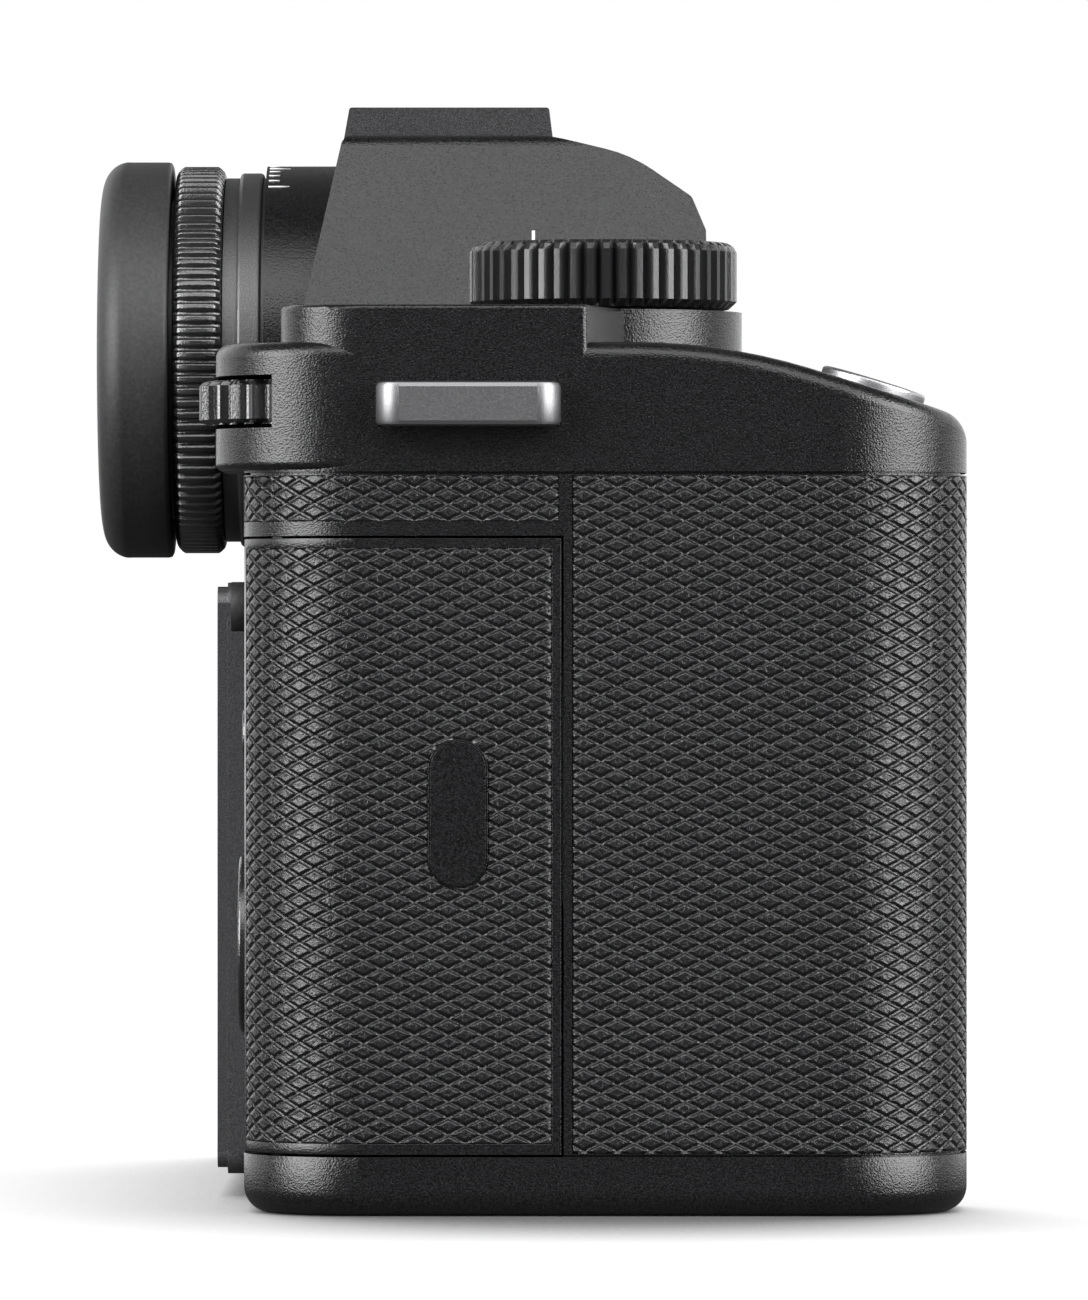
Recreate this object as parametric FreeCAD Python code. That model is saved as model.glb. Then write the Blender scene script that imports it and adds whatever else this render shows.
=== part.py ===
"""Full-frame mirrorless camera body without a lens, in millimetres.

The frame: the front of the camera looks along -Y and +Z is up. The grip is on
the -X side. The origin is the centre of the tripod socket's mouth, under the
lens axis. Each piece is written to its own file in the folder parts.
"""

import math
import os

import FreeCAD, Part

V = FreeCAD.Vector
os.makedirs("parts", exist_ok=True)

# Outline of the body, seen from above
grip_side_x = -72.0
left_side_x = 61.0
rear_y = 23.5
front_y = -21.0
grip_front_y = -45.2
grip_root_x = -41.0
grip_tip_x = -47.0
rear_corner_r = 11.0
grip_corner_r = 12.0
grip_tip_r = 8.0
grip_root_r = 5.0
left_corner_r = 9.0

# Heights
base_top = 5.6
shell_top = 70.1
ledge_rise = 12.2
plateau_rise = 3.5
hump_rise = 21.85
shoe_rise = 3.05
ledge_z = shell_top + ledge_rise
plateau_z = ledge_z + plateau_rise
deck_slope = 17.0

# Walls and clearances
wall = 2.0
skin = 0.65
seam = 0.25
gap = 0.3
pin_gap = 0.05

# Lens mount
lens_z = 41.0
sensor_y = -3.9
flange_distance = 20.0
flange_y = sensor_y - flange_distance
throat_r = 25.8
mount_r = throat_r + 6.2
mount_undercut_r = throat_r + 2.2
mount_thick = 3.2
lock_pin_r = 1.2
release_r = 6.6
release_x = 42.0
release_z = 28.0

# Eyepiece
eye_rise = 12.4
eye_z = shell_top + eye_rise
hump_z = eye_z + hump_rise
shoe_top_z = hump_z + shoe_rise
barrel_r = 19.5
barrel_mid_r = 18.8
ring_r = 19.45
ring_y0 = 26.9
ring_y1 = 31.9
cup_r = 19.9
cup_y1 = 39.35
eye_bore_r = 12.0
tube_y0 = -9.0

# Controls
dial_x = -45.0
dial_y = -10.7
dial_r = 12.9
dial_lift = 0.3
dial_height = 6.4
dial_z0 = plateau_z + dial_lift
dial_z1 = dial_z0 + dial_height
left_dial_x = 44.0
left_dial_y = 2.0
left_dial_r = 11.0
wheel_x = -59.65
wheel_y = 17.3
wheel_r = 10.5
wheel_rise = 4.55
wheel_height = 4.2
wheel_z0 = shell_top + wheel_rise
wheel_z1 = wheel_z0 + wheel_height
shutter_x = -58.5
shutter_y = -36.5
shutter_r = 5.1
shutter_tilt = 17.0

# Rear display
screen_x0 = -33.0
screen_x1 = 51.0
screen_z0 = 2.1
screen_z1 = 59.9
screen_y1 = 26.9

# Card door, battery and sockets
split_y = -8.1
grip_leather_y1 = -7.65
strip_leather_y0 = -6.4
door_y0 = -6.6
door_z0 = base_top + seam
door_z1 = 63.8
door_pin_x = -62.2
door_pin_y = 21.4
door_knuckle_r = 1.9
door_thick = 2.0
battery_x0 = -67.5
battery_x1 = -50.4
battery_y0 = -39.5
battery_y1 = -8.8
battery_top = 57.0
socket_x0 = 50.4
jack_z = [14.0, 24.5]


def box(x0, x1, y0, y1, z0, z1):
    return Part.makeBox(x1 - x0, y1 - y0, z1 - z0, V(x0, y0, z0))


def rod(x, y, z, axis, r, length):
    return Part.makeCylinder(r, length, V(x, y, z), V(*axis))


def tube(x, y, z, axis, r_out, r_in, length):
    return rod(x, y, z, axis, r_out, length).cut(rod(x, y, z, axis, r_in, length))


def rounded(points):
    """A closed wire in the XY plane through corners given as (x, y, radius)."""
    edges = []
    starts = []
    ends = []
    mids = []
    count = len(points)
    for i in range(count):
        at = V(points[i][0], points[i][1], 0)
        r = points[i][2]
        if r <= 0:
            starts.append(at)
            ends.append(at)
            mids.append(None)
            continue
        before = V(points[i - 1][0], points[i - 1][1], 0)
        after = V(points[(i + 1) % count][0], points[(i + 1) % count][1], 0)
        a = (before - at).normalize()
        b = (after - at).normalize()
        half = a.getAngle(b) / 2.0
        reach = r / math.tan(half)
        centre = at + (a + b).normalize() * (r / math.sin(half))
        starts.append(at + a * reach)
        ends.append(at + b * reach)
        mids.append(centre + (at - centre).normalize() * r)
    for i in range(count):
        if mids[i] is not None:
            edges.append(Part.Arc(starts[i], mids[i], ends[i]).toShape())
        following = starts[(i + 1) % count]
        if (following - ends[i]).Length > 1e-6:
            edges.append(Part.LineSegment(ends[i], following).toShape())
    return Part.Wire(edges)


def slab(points, z0, z1):
    """A plate with a rounded outline, from z0 up to z1."""
    face = Part.Face(rounded(points))
    face.translate(V(0, 0, z0))
    return face.extrude(V(0, 0, z1 - z0))


def side_slab(points, x0, x1):
    """A plate whose outline is given as (y, z, radius), from x0 to x1."""
    face = Part.Face(rounded(points))
    face.rotate(V(0, 0, 0), V(1, 1, 1), 120)
    face.translate(V(x0, 0, 0))
    return face.extrude(V(x1 - x0, 0, 0))


def front_slab(points, y0, y1):
    """A plate whose outline is given as (x, z, radius), from y0 to y1."""
    face = Part.Face(rounded(points))
    face.rotate(V(0, 0, 0), V(1, 0, 0), 90)
    face.translate(V(0, y0, 0))
    return face.extrude(V(0, y1 - y0, 0))


def pad(x0, x1, y0, y1, z0, z1, r):
    return slab([(x0, y0, r), (x1, y0, r), (x1, y1, r), (x0, y1, r)], z0, z1)


def front_pad(x0, x1, y0, y1, z0, z1, r):
    return front_slab([(x0, z0, r), (x1, z0, r), (x1, z1, r), (x0, z1, r)], y0, y1)


def side_pad(x0, x1, y0, y1, z0, z1, r):
    return side_slab([(y0, z0, r), (y1, z0, r), (y1, z1, r), (y0, z1, r)], x0, x1)


def fused(shapes):
    whole = shapes[0]
    for more in shapes[1:]:
        whole = whole.fuse(more)
    return whole.removeSplitter()


def body_plan(inset):
    """The outline of the body from above, moved inwards by a distance."""
    d = inset
    return [
        (grip_side_x + d, rear_y - d, max(rear_corner_r - d, 0.5)),
        (grip_side_x + d, grip_front_y + d, max(grip_corner_r - d, 0.5)),
        (grip_tip_x - d, grip_front_y + d, max(grip_tip_r - d, 0.5)),
        (grip_root_x - d, front_y + d, grip_root_r + d),
        (left_side_x - d, front_y + d, max(left_corner_r - d, 0.5)),
        (left_side_x - d, rear_y - d, max(rear_corner_r - d, 0.5)),
    ]


pieces = {}


def keep(name, *solids):
    """Note a piece, or a group of separate solids, under its name."""
    found = []
    for solid in solids:
        found.extend(solid.Solids)
    pieces[name] = found


# Shells and base plate

axis_y = (0, 1, 0)
collar_r = mount_r + 1.6
collar_y0 = flange_y + 0.5
collar_y1 = -18.5
recess_y = 19.8
screen_gap = 0.3
recess_top = screen_z1 + 2.0
housing_y = 21.9
far = 300.0

cavity = slab(body_plan(wall), base_top, shell_top)
recess = box(
    screen_x0 - screen_gap, screen_x1 + screen_gap, recess_y, far, screen_z0 - gap, recess_top
)
swing_room = box(screen_x0 - screen_gap, screen_x1 + screen_gap, 21.2, far, 0.9, 3.0)
collar = rod(0, collar_y0, lens_z, axis_y, collar_r, collar_y1 - collar_y0)
throat = rod(0, flange_y - 1, lens_z, axis_y, mount_undercut_r, -flange_y)
ring_seat = rod(0, flange_y - 1, lens_z, axis_y, mount_r, mount_thick + 1)
battery_hole = pad(
    battery_x0 - gap, battery_x1 + gap, battery_y0 - gap, battery_y1 + gap, -1, base_top + 1, 3.0
)
lever_x = -54.0
lever_y = -3.0
lever_slot = pad(-66.0, -51.0, -6.4, 4.0, -1, 1.6, 2.0)
bush_r = 6.0
bush_flange_r = 8.5
bush_top = 8.0


def base_plate():
    plate = slab(body_plan(0), 0, base_top)
    rim = [e for e in plate.Edges if e.BoundBox.ZMax < 0.01]
    plate = plate.makeFillet(2.4, rim)
    tray = slab(body_plan(wall + 0.2), 2.4, base_top + 1)
    post = rod(0, 0, 0, (0, 0, 1), bush_flange_r + 1.5, base_top)
    well = pad(
        battery_x0 - 1.5, battery_x1 + 1.5, battery_y0 - 1.5, battery_y1 + 1.5, 0, base_top, 4.0
    )
    floor = slab(body_plan(wall), 0.5, base_top)
    back = box(screen_x0 - 3, screen_x1 + 2, recess_y - 2, rear_y, 0.5, base_top)
    ribs = fused([post, well, back]).common(floor)
    plate = plate.cut(tray).fuse(ribs)
    plate = plate.cut(battery_hole).cut(recess).cut(swing_room).cut(lever_slot)
    plate = plate.cut(rod(0, 0, -1, (0, 0, 1), bush_r, base_top + 2))
    plate = plate.cut(rod(0, 0, base_top - 1.5, (0, 0, 1), bush_flange_r, 3))
    for x in (screen_x0 - 2.0, screen_x1 - 0.5):
        plate = plate.cut(rod(x, 22.3, 3.9, (1, 0, 0), 0.85, 2.5))
    for x, y in base_screw_places:
        plate = plate.cut(rod(x, y, -1, (0, 0, 1), 1.9, 1.8))
    return plate.removeSplitter()


base_screw_places = [(-56, 14), (-22, -12), (22, -12), (50, -14), (50, 14), (-22, 14)]
keep("base_plate", base_plate())

screws = []
for x, y in base_screw_places:
    head = rod(x, y, 0.3, (0, 0, 1), 1.9 - pin_gap, 0.5)
    slot = box(x - 1.2, x + 1.2, y - 0.2, y + 0.2, 0.2, 0.5)
    cross = box(x - 0.2, x + 0.2, y - 1.2, y + 1.2, 0.2, 0.5)
    screws.append(head.cut(slot).cut(cross))
keep("base_screws", *screws)

tripod_r = 3.175
bush = rod(0, 0, 0, (0, 0, 1), bush_r, bush_top)
bush = bush.fuse(rod(0, 0, base_top - 1.5, (0, 0, 1), bush_flange_r, 1.5))
keep("tripod_socket", bush.cut(rod(0, 0, 0, (0, 0, 1), tripod_r, 6.6)))

outer = slab(body_plan(0), base_top + seam, shell_top - seam)
core = slab(body_plan(0.6), base_top, shell_top)
shell = outer.fuse(core).cut(cavity)

front_shell = shell.common(box(-far, far, -far, split_y, 0, far)).fuse(collar)
front_shell = front_shell.cut(throat).cut(ring_seat)
front_shell = front_shell.cut(rod(0, collar_y0 - 1, lens_z, axis_y, mount_undercut_r + 1, 12))

back_wall = box(
    screen_x0 - 2.3, screen_x1 + 2.0, recess_y - 2.0, rear_y - wall, base_top, recess_top + 2.0
)
rear_shell = shell.common(box(-far, far, split_y, far, 0, far))
rear_shell = rear_shell.fuse(back_wall.common(slab(body_plan(1.0), 0, far)))
rear_shell = rear_shell.cut(recess)
door_span = box(-far, door_pin_x, door_y0 - seam, far, door_z0 - seam, door_z1 + seam)
rear_shell = rear_shell.cut(door_span)
knuckle_room = rod(
    door_pin_x, door_pin_y, door_z0 - seam, (0, 0, 1), door_knuckle_r + gap,
    door_z1 - door_z0 + 2 * seam,
)
jamb = box(door_pin_x, door_pin_x + 4.2, rear_y - 5.0, rear_y - 1, base_top, shell_top)
hinge_slot = box(
    door_pin_x, door_pin_x + door_knuckle_r + 0.7, door_pin_y - 0.5, far, door_z0 - seam, door_z1 + seam
)
rear_shell = rear_shell.fuse(jamb).cut(knuckle_room).cut(hinge_slot)
sill = slab(body_plan(1.0), base_top, door_z1 + seam + 2.0)
front_jamb = sill.common(box(grip_side_x, -67.0, door_y0 - 1.5, door_y0 - seam, 0, far))
rear_shell = rear_shell.fuse(front_jamb)
lintel = slab(body_plan(0), door_z1 + seam, shell_top - seam)
lintel = lintel.common(box(-far, -60, split_y, far, 0, far))
lintel = lintel.cut(slab(body_plan(5.0), 0, far))
rear_shell = rear_shell.fuse(lintel).removeSplitter()

# Leather: thin skins laid in shallow pockets of the shells


def skin_layer(zone, border):
    """The outermost layer of the body inside a zone, with a border left bare."""
    layer = slab(body_plan(0), base_top, shell_top).cut(slab(body_plan(skin), 0, far))
    return layer.common(zone).cut(border) if border else layer.common(zone)


leather_z0 = base_top + 0.35
leather_z1 = shell_top - 0.35
clear_of_mount = rod(0, -50, lens_z, axis_y, collar_r + 0.8, 40)
grip_zone = box(-far, -12.0, -far, grip_leather_y1, leather_z0, leather_z1)
left_front_zone = box(12.0, left_side_x - 9.5, -far, split_y, leather_z0, leather_z1)
grip_skin = skin_layer(grip_zone, clear_of_mount)
release_hole = rod(release_x, -30, release_z, axis_y, release_r + 1.2, 20)
left_skin = skin_layer(left_front_zone, clear_of_mount.fuse(release_hole))
strip_zone = box(-far, door_pin_x, strip_leather_y0, far, door_z1 + 1.6, leather_z1)
strip_skin = skin_layer(strip_zone, None)
thumb_zone = box(-57.0, -44.5, 20, far, 40.0, leather_z1 - 4.0)
thumb_skin = skin_layer(thumb_zone, None)
keep("grip_leather", grip_skin)
keep("front_leather", left_skin)
keep("side_strip_leather", strip_skin)
keep("thumb_leather", thumb_skin)
front_shell = front_shell.cut(grip_skin).cut(left_skin)
rear_shell = rear_shell.cut(grip_skin).cut(strip_skin).cut(thumb_skin)

# Top cover: deck, plateau, dial bases, hump and eyepiece housing

axis_z = (0, 0, 1)
slope_start_y = -22.0
slope_blend_r = 57.0
grip_brow_r = 3.4
shutter_proud = 1.1
deck_fall = math.tan(math.radians(deck_slope))
shutter_z = ledge_z + (shutter_y - slope_start_y) * deck_fall + shutter_proud
dial_base_r = dial_r + 0.5
dial_base_z = dial_z0 - gap
left_base_z = ledge_z + 1.2
wheel_bulge_y = 26.2
housing_x1 = -43.0
spigot_r = 16.8
neck_r = 18.3
neck_y = rear_y - 0.7
tilt = math.radians(shutter_tilt)
shutter_axis = (0, -math.sin(tilt), math.cos(tilt))


def tilted_rod(r, start, end):
    """A rod on the shutter button's axis, between two distances from its face."""
    return rod(
        shutter_x, shutter_y + shutter_axis[1] * start, shutter_z + shutter_axis[2] * start,
        shutter_axis, r, end - start,
    )


def top_rim(shape, z):
    return [e for e in shape.Edges if e.BoundBox.ZMin > z - 0.01]


def above_slope(drop):
    """The space above the sloping front of the grip, lowered by a distance."""
    low = ledge_z - drop
    brow_y = grip_front_y + drop
    brow_z = low - (slope_start_y - brow_y) * deck_fall
    return side_slab(
        [
            (brow_y - 20, shell_top - 20, 0), (brow_y, shell_top - 20, 0),
            (brow_y, brow_z, grip_brow_r), (slope_start_y, low, slope_blend_r),
            (slope_start_y + 12, low, 0), (slope_start_y + 12, low + 40, 0), (brow_y - 20, low + 40, 0),
        ],
        grip_side_x - 10, left_side_x + 10,
    )


def deck():
    block = slab(body_plan(0), shell_top, ledge_z).cut(above_slope(0))
    within = slab(body_plan(0.4), 0, far)
    rim = []
    for edge in block.Edges:
        middle = edge.valueAt((edge.FirstParameter + edge.LastParameter) / 2)
        upright = abs(edge.tangentAt(edge.FirstParameter).z) > 0.98
        high = middle.z > shell_top + 1.0
        if high and not upright and not within.isInside(middle, 0.001, True):
            rim.append(edge)
    return block.makeFillet(1.5, rim)


def hump(inset):
    """The viewfinder's hump: its side profile crossed with its front profile."""
    d = inset
    top = hump_z - d
    side = side_slab(
        [
            (front_y + d, ledge_z - 6, 0), (front_y + d, top - 9.6, 0),
            (front_y + 1.4 + d, top - 6.2, 1.0), (-13.6, top - 2.0, 14), (-5.4, top, 12),
            (14.9 - d, top, 1.2), (18.6 - d, hump_z - 17.0, 3), (20.4 - d, ledge_z - 6, 0),
        ],
        -40, 40,
    )
    lean = 12.0
    front = front_slab(
        [
            (-17.5 - lean + d, ledge_z - 6, 0), (-17.5 + d, top, 1.8), (17.5 - d, top, 1.8),
            (17.5 + lean - d, ledge_z - 6, 0),
        ],
        -60, 60,
    )
    return side.common(front)


def plateau():
    block = slab(
        [
            (grip_side_x, -9.0, 0.6), (grip_side_x, 19.9, 7.3), (-22, 19.9, 0), (-22, -13.5, 0),
            (dial_x, -13.5, 0), (dial_x - dial_base_r, -12.6, 0),
        ],
        ledge_z - 3, plateau_z,
    )
    return block.makeFillet(0.4, top_rim(block, plateau_z))


def thumb_housing():
    block = slab(
        [
            (grip_side_x, 5.0, 0), (grip_side_x, wheel_bulge_y, rear_corner_r + 1.0),
            (housing_x1, wheel_bulge_y, 4.0), (housing_x1, 5.0, 0),
        ],
        shell_top + 0.2, ledge_z,
    )
    over = [e for e in top_rim(block, ledge_z) if e.BoundBox.YMax > 14.0]
    block = block.makeFillet(1.3, over)
    low = [e for e in block.Edges if e.BoundBox.ZMax < shell_top + 0.21 and e.BoundBox.YMax > 14.0]
    return block.makeFillet(0.7, low)


top_cover = fused(
    [
        deck(),
        thumb_housing(),
        plateau(),
        rod(dial_x, dial_y, ledge_z - 3, axis_z, dial_base_r, dial_base_z - ledge_z + 3),
        rod(left_dial_x, left_dial_y, ledge_z - 3, axis_z, left_dial_r + 0.6, left_base_z - ledge_z + 3),
        hump(0),
        rod(0, 5.0, eye_z, axis_y, barrel_r, neck_y - 5.0).common(
            box(-far, far, -far, far, shell_top, far)
        ),
    ]
)
shoe_pocket = box(-11.0, 11.0, -6.0, 15.1, shoe_top_z - 4.0, far)
inner_deck = slab(body_plan(wall), shell_top - 1, ledge_z - wall)
inner_deck = inner_deck.cut(above_slope(wall + 0.4))
wheel_room = rod(
    wheel_x, wheel_y, wheel_z0 - 0.4, axis_z, wheel_r + 0.5, wheel_z1 - wheel_z0 + 0.8
)
dial_posts = [(dial_x, dial_y, dial_base_z), (left_dial_x, left_dial_y, left_base_z)]
dial_shaft_r = 3.0
eye_bore = rod(0, tube_y0, eye_z, axis_y, spigot_r, rear_y - tube_y0 + 1)
neck_room = rod(0, neck_y, eye_z, axis_y, neck_r, 12)
mid_y0 = neck_y + gap
neck_room = neck_room.fuse(rod(0, mid_y0, eye_z, axis_y, barrel_mid_r + pin_gap, 12))
hump_room = hump(2.2).cut(box(-far, far, -far, far, shoe_top_z - 6.0, far))
top_cover = top_cover.cut(inner_deck)
top_cover = top_cover.cut(hump_room)
top_cover = top_cover.fuse(
    tube(0, 6.0, eye_z, axis_y, spigot_r + 1.4, spigot_r, neck_y - 6.0).common(
        box(-far, far, -far, far, shell_top, far)
    )
)
top_cover = top_cover.fuse(
    pad(-13.0, 13.0, -8.0, 16.0, shoe_top_z - 6.0, shoe_top_z - 3.0, 1.0).common(hump(0.5))
)
shutter_boss = tilted_rod(shutter_r + 2.0, -6.0, -1.2).common(
    box(-far, far, -far, far, shell_top, far)
)
top_cover = top_cover.fuse(shutter_boss)
top_cover = top_cover.cut(eye_bore).cut(neck_room).cut(shoe_pocket).cut(wheel_room)
top_cover = top_cover.cut(tilted_rod(shutter_r + 0.15, -3.4, 20)).cut(tilted_rod(2.1, -9, 2))
top_cover = top_cover.cut(rod(0, flange_y, lens_z, axis_y, collar_r, collar_y1 - flange_y))
for x, y, z in dial_posts:
    top_cover = top_cover.cut(rod(x, y, z - 8, axis_z, dial_shaft_r + pin_gap, 9))

# Buttons that stand in round holes: (name, x, y, z, radius, axis, height, travel)
top_buttons = [("power_button", 49.5, -14.5, 3.0)]
for name, x, y, r in top_buttons:
    stem = rod(x, y, ledge_z - 4.0, axis_z, r, 4.8)
    head = stem.makeFillet(0.3, top_rim(stem, ledge_z + 0.8))
    foot = rod(x, y, ledge_z - 4.0, axis_z, r + 0.7, 1.0)
    top_cover = top_cover.cut(rod(x, y, ledge_z - 8, axis_z, r + 0.12, 20))
    top_cover = top_cover.cut(rod(x, y, ledge_z - 8, axis_z, r + 1.0, 8 - wall))
    keep(name, head.fuse(foot))

strap_z = shell_top + 6.3
lug_y = 2.1
lug_half = 8.9
lug_thick = 4.2


def strap_lug(side_x, out):
    """A flat loop that stands out of the side and holds a strap."""
    root_x = side_x - out * 1.8
    tip_x = side_x + out * 4.1
    low = lug_y - lug_half
    high = lug_y + lug_half
    loop = slab(
        [
            (root_x, low + 1.5, 0), (side_x, low + 0.4, 0), (tip_x, low, 2.2),
            (tip_x, high, 2.2), (side_x, high - 0.4, 0), (root_x, high - 1.5, 0),
        ],
        strap_z - lug_thick / 2, strap_z + lug_thick / 2,
    )
    x0, x1 = sorted((side_x - out * 0.2, side_x + out * 2.3))
    return loop.cut(box(x0, x1, lug_y - 6.0, lug_y + 6.0, 0, 99))


lug_right = strap_lug(grip_side_x, -1)
lug_left = strap_lug(left_side_x, 1)
keep("strap_lugs", lug_right, lug_left)
lug_root = box(-far, far, lug_y - 9.5, lug_y + 9.5, 70, ledge_z - 1)
top_cover = top_cover.fuse(
    slab(body_plan(0.4), strap_z - 4, strap_z + 4).cut(slab(body_plan(4.2), 0, 99)).common(lug_root)
)
top_cover = top_cover.cut(wheel_room)
top_cover = top_cover.cut(lug_right).cut(lug_left).removeSplitter()
print("top cover solids", [round(s.Volume) for s in top_cover.Solids])
eye_cut = rod(0, 6.0, eye_z, axis_y, spigot_r, 30).fuse(neck_room)
rear_shell = rear_shell.cut(eye_cut)

# Lens mount and throat

mount_gap_angle = 28.0


def sector(r_in, r_out, y0, length, start, sweep):
    """Part of a ring about the lens axis, between two angles in degrees."""
    ring = Part.makeCylinder(r_out, length, V(0, 0, 0), V(0, 0, 1), sweep)
    ring = ring.cut(Part.makeCylinder(r_in, length, V(0, 0, 0), V(0, 0, 1)))
    ring.rotate(V(0, 0, 0), V(0, 0, 1), start)
    ring.rotate(V(0, 0, 0), V(1, 0, 0), -90)
    ring.translate(V(0, y0, lens_z))
    return ring


def on_mount(r, angle):
    """A place on the mount's face, at a radius and an angle from +X."""
    return r * math.cos(math.radians(angle)), lens_z + r * math.sin(math.radians(angle))


lip = 1.4
lock_angle = -20.0
lock_x, lock_z = on_mount(mount_r - 2.4, lock_angle)
mount_ring = rod(0, flange_y, lens_z, axis_y, mount_r, mount_thick)
mount_ring = mount_ring.cut(rod(0, flange_y - 1, lens_z, axis_y, throat_r, mount_thick + 2))
mount_ring = mount_ring.cut(
    rod(0, flange_y + lip, lens_z, axis_y, mount_undercut_r, mount_thick)
)
for turn in (30.0, 150.0, 270.0):
    start = turn - mount_gap_angle / 2
    mount_ring = mount_ring.cut(
        sector(throat_r - 1, mount_undercut_r, flange_y - 1, mount_thick, start, mount_gap_angle)
    )
mount_ring = mount_ring.cut(
    rod(lock_x, flange_y - 1, lock_z, axis_y, lock_pin_r + pin_gap, mount_thick + 2)
)
mount_screws = []
for turn in (60, 120, 180, 240, 300, 360):
    x, z = on_mount(mount_r - 2.0, turn + 1.0)
    head = rod(x, flange_y + 0.05, z, axis_y, 1.0, 0.9).fuse(
        rod(x, flange_y + 0.95, z, axis_y, 0.6, mount_thick - 0.95)
    )
    mount_ring = mount_ring.cut(head).cut(rod(x, flange_y - 1, z, axis_y, 1.0, 1.1))
    head = head.cut(box(x - 0.6, x + 0.6, flange_y - 1, flange_y + 0.35, z - 0.13, z + 0.13))
    mount_screws.append(head.cut(box(x - 0.13, x + 0.13, -99, flange_y + 0.35, z - 0.6, z + 0.6)))
keep("mount_ring", mount_ring)
keep("mount_screws", *mount_screws)

springs = []
for turn in (75.0, 195.0, 315.0):
    springs.append(
        sector(
            throat_r + 0.9, mount_undercut_r, flange_y + lip + 1.2, 0.3, turn, 30.0
        )
    )
keep("mount_springs", *springs)

frame_w = 36.4
frame_h = 24.6
plate_y0 = -13.0
plate_y1 = -10.5
mount_back_y = flange_y + mount_thick + 0.1
light_box = rod(0, mount_back_y, lens_z, axis_y, mount_undercut_r + 0.9, 2.0)
light_box = light_box.fuse(
    rod(0, mount_back_y + 2.0, lens_z, axis_y, mount_undercut_r - 0.5, plate_y0 - mount_back_y - 2.0)
)
light_box = light_box.cut(
    front_pad(
        -frame_w / 2, frame_w / 2, -22, -12, lens_z - frame_h / 2, lens_z + frame_h / 2, 2.0
    )
)
funnel = Part.makeCone(throat_r - 0.8, 16.0, 6.0, V(0, mount_back_y - 0.1, lens_z), V(*axis_y))
light_box = light_box.cut(funnel)
block_z0 = lens_z - throat_r + 0.6
block_shape = box(-9.5, 9.5, flange_y + 2.2, -18.0, block_z0, block_z0 + 4.6)
light_box = light_box.cut(block_shape)
keep("light_box", light_box)
keep("contact_block", block_shape.common(rod(0, -30, lens_z, axis_y, throat_r - 0.5, 20)))
lens_contacts = []
for i in range(10):
    x, z = on_mount(throat_r - 2.8, 270.0 + (i - 4.5) * 4.4)
    lens_contacts.append(rod(x, flange_y + 1.6, z, axis_y, 0.55, 0.6))
keep("lens_contacts", *lens_contacts)

lock_pin = rod(lock_x, flange_y - 1.2, lock_z, axis_y, lock_pin_r, 11.5)
front_shell = front_shell.cut(
    rod(lock_x, flange_y, lock_z, axis_y, lock_pin_r + pin_gap, 20)
)
light_box = light_box.cut(rod(lock_x, -22, lock_z, axis_y, lock_pin_r + gap, 20))
keep("light_box", light_box)
keep("lens_lock_pin", lock_pin)
button = rod(release_x, front_y - 2.2, release_z, axis_y, release_r, 5.2)
button = button.makeFillet(0.6, [e for e in button.Edges if e.BoundBox.YMax < front_y - 2.1])
button = button.fuse(rod(release_x, front_y + 2.9, release_z, axis_y, release_r + 0.9, 0.9))
keep("lens_release_button", button)
front_shell = front_shell.cut(rod(release_x, -40, release_z, axis_y, release_r + 0.12, 30))

# Chassis, shutter and stabilised sensor

chassis = front_pad(-36.0, 56.0, plate_y0, plate_y1, base_top, 68.0, 2.0)
chassis = chassis.cut(
    front_pad(-frame_w / 2, frame_w / 2, -14, -9, lens_z - frame_h / 2, lens_z + frame_h / 2, 2.0)
)
for angle in (45, 135, 225, 315):
    x, z = on_mount(mount_r - 0.8, angle)
    chassis = chassis.fuse(rod(x, collar_y1, z, axis_y, 1.9, plate_y0 - collar_y1))
chassis = chassis.fuse(box(-12, 12, plate_y0, 12.0, bush_top, bush_top + 1.6))
for x in (-32.0, 32.0):
    for z in (lens_z - 26.0, lens_z + 26.0):
        chassis = chassis.fuse(rod(x, plate_y1, z, axis_y, 1.5, 10.3))
chassis = chassis.cut(rod(lock_x, -22, lock_z, axis_y, lock_pin_r + gap, 20))
chassis = chassis.cut(rod(release_x, -19, release_z, axis_y, release_r + 1.6, 9.5))
chassis = chassis.cut(rod(0, 0, 0, axis_z, bush_r, bush_top))
keep("chassis", chassis.removeSplitter())

shutter_y0 = plate_y1
shutter_y1 = shutter_y0 + 3.6
leaf_count = 2
leaf_h = 13.1
shutter_frame = front_pad(-29.0, 29.0, shutter_y0, shutter_y1, lens_z - 17.5, lens_z + 27.0, 2.0)
shutter_frame = shutter_frame.cut(
    front_pad(
        -frame_w / 2, frame_w / 2, shutter_y0 - 1, shutter_y1 + 1,
        lens_z - frame_h / 2, lens_z + frame_h / 2, 1.0,
    )
)
leaf_top = lens_z + frame_h / 2 + leaf_h + 0.3
shutter_frame = shutter_frame.cut(
    box(-22.3, 22.3, shutter_y0 + 0.6, shutter_y1 - 0.6, lens_z - 15.3, leaf_top + 0.3)
)
keep("shutter_frame", shutter_frame)
for i in range(leaf_count):
    y = shutter_y0 + 0.95 + i * 0.65
    keep("shutter_leaf_" + str(i + 1), box(-22.0, 22.0, y, y + 0.25, leaf_top - leaf_h, leaf_top))

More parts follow.
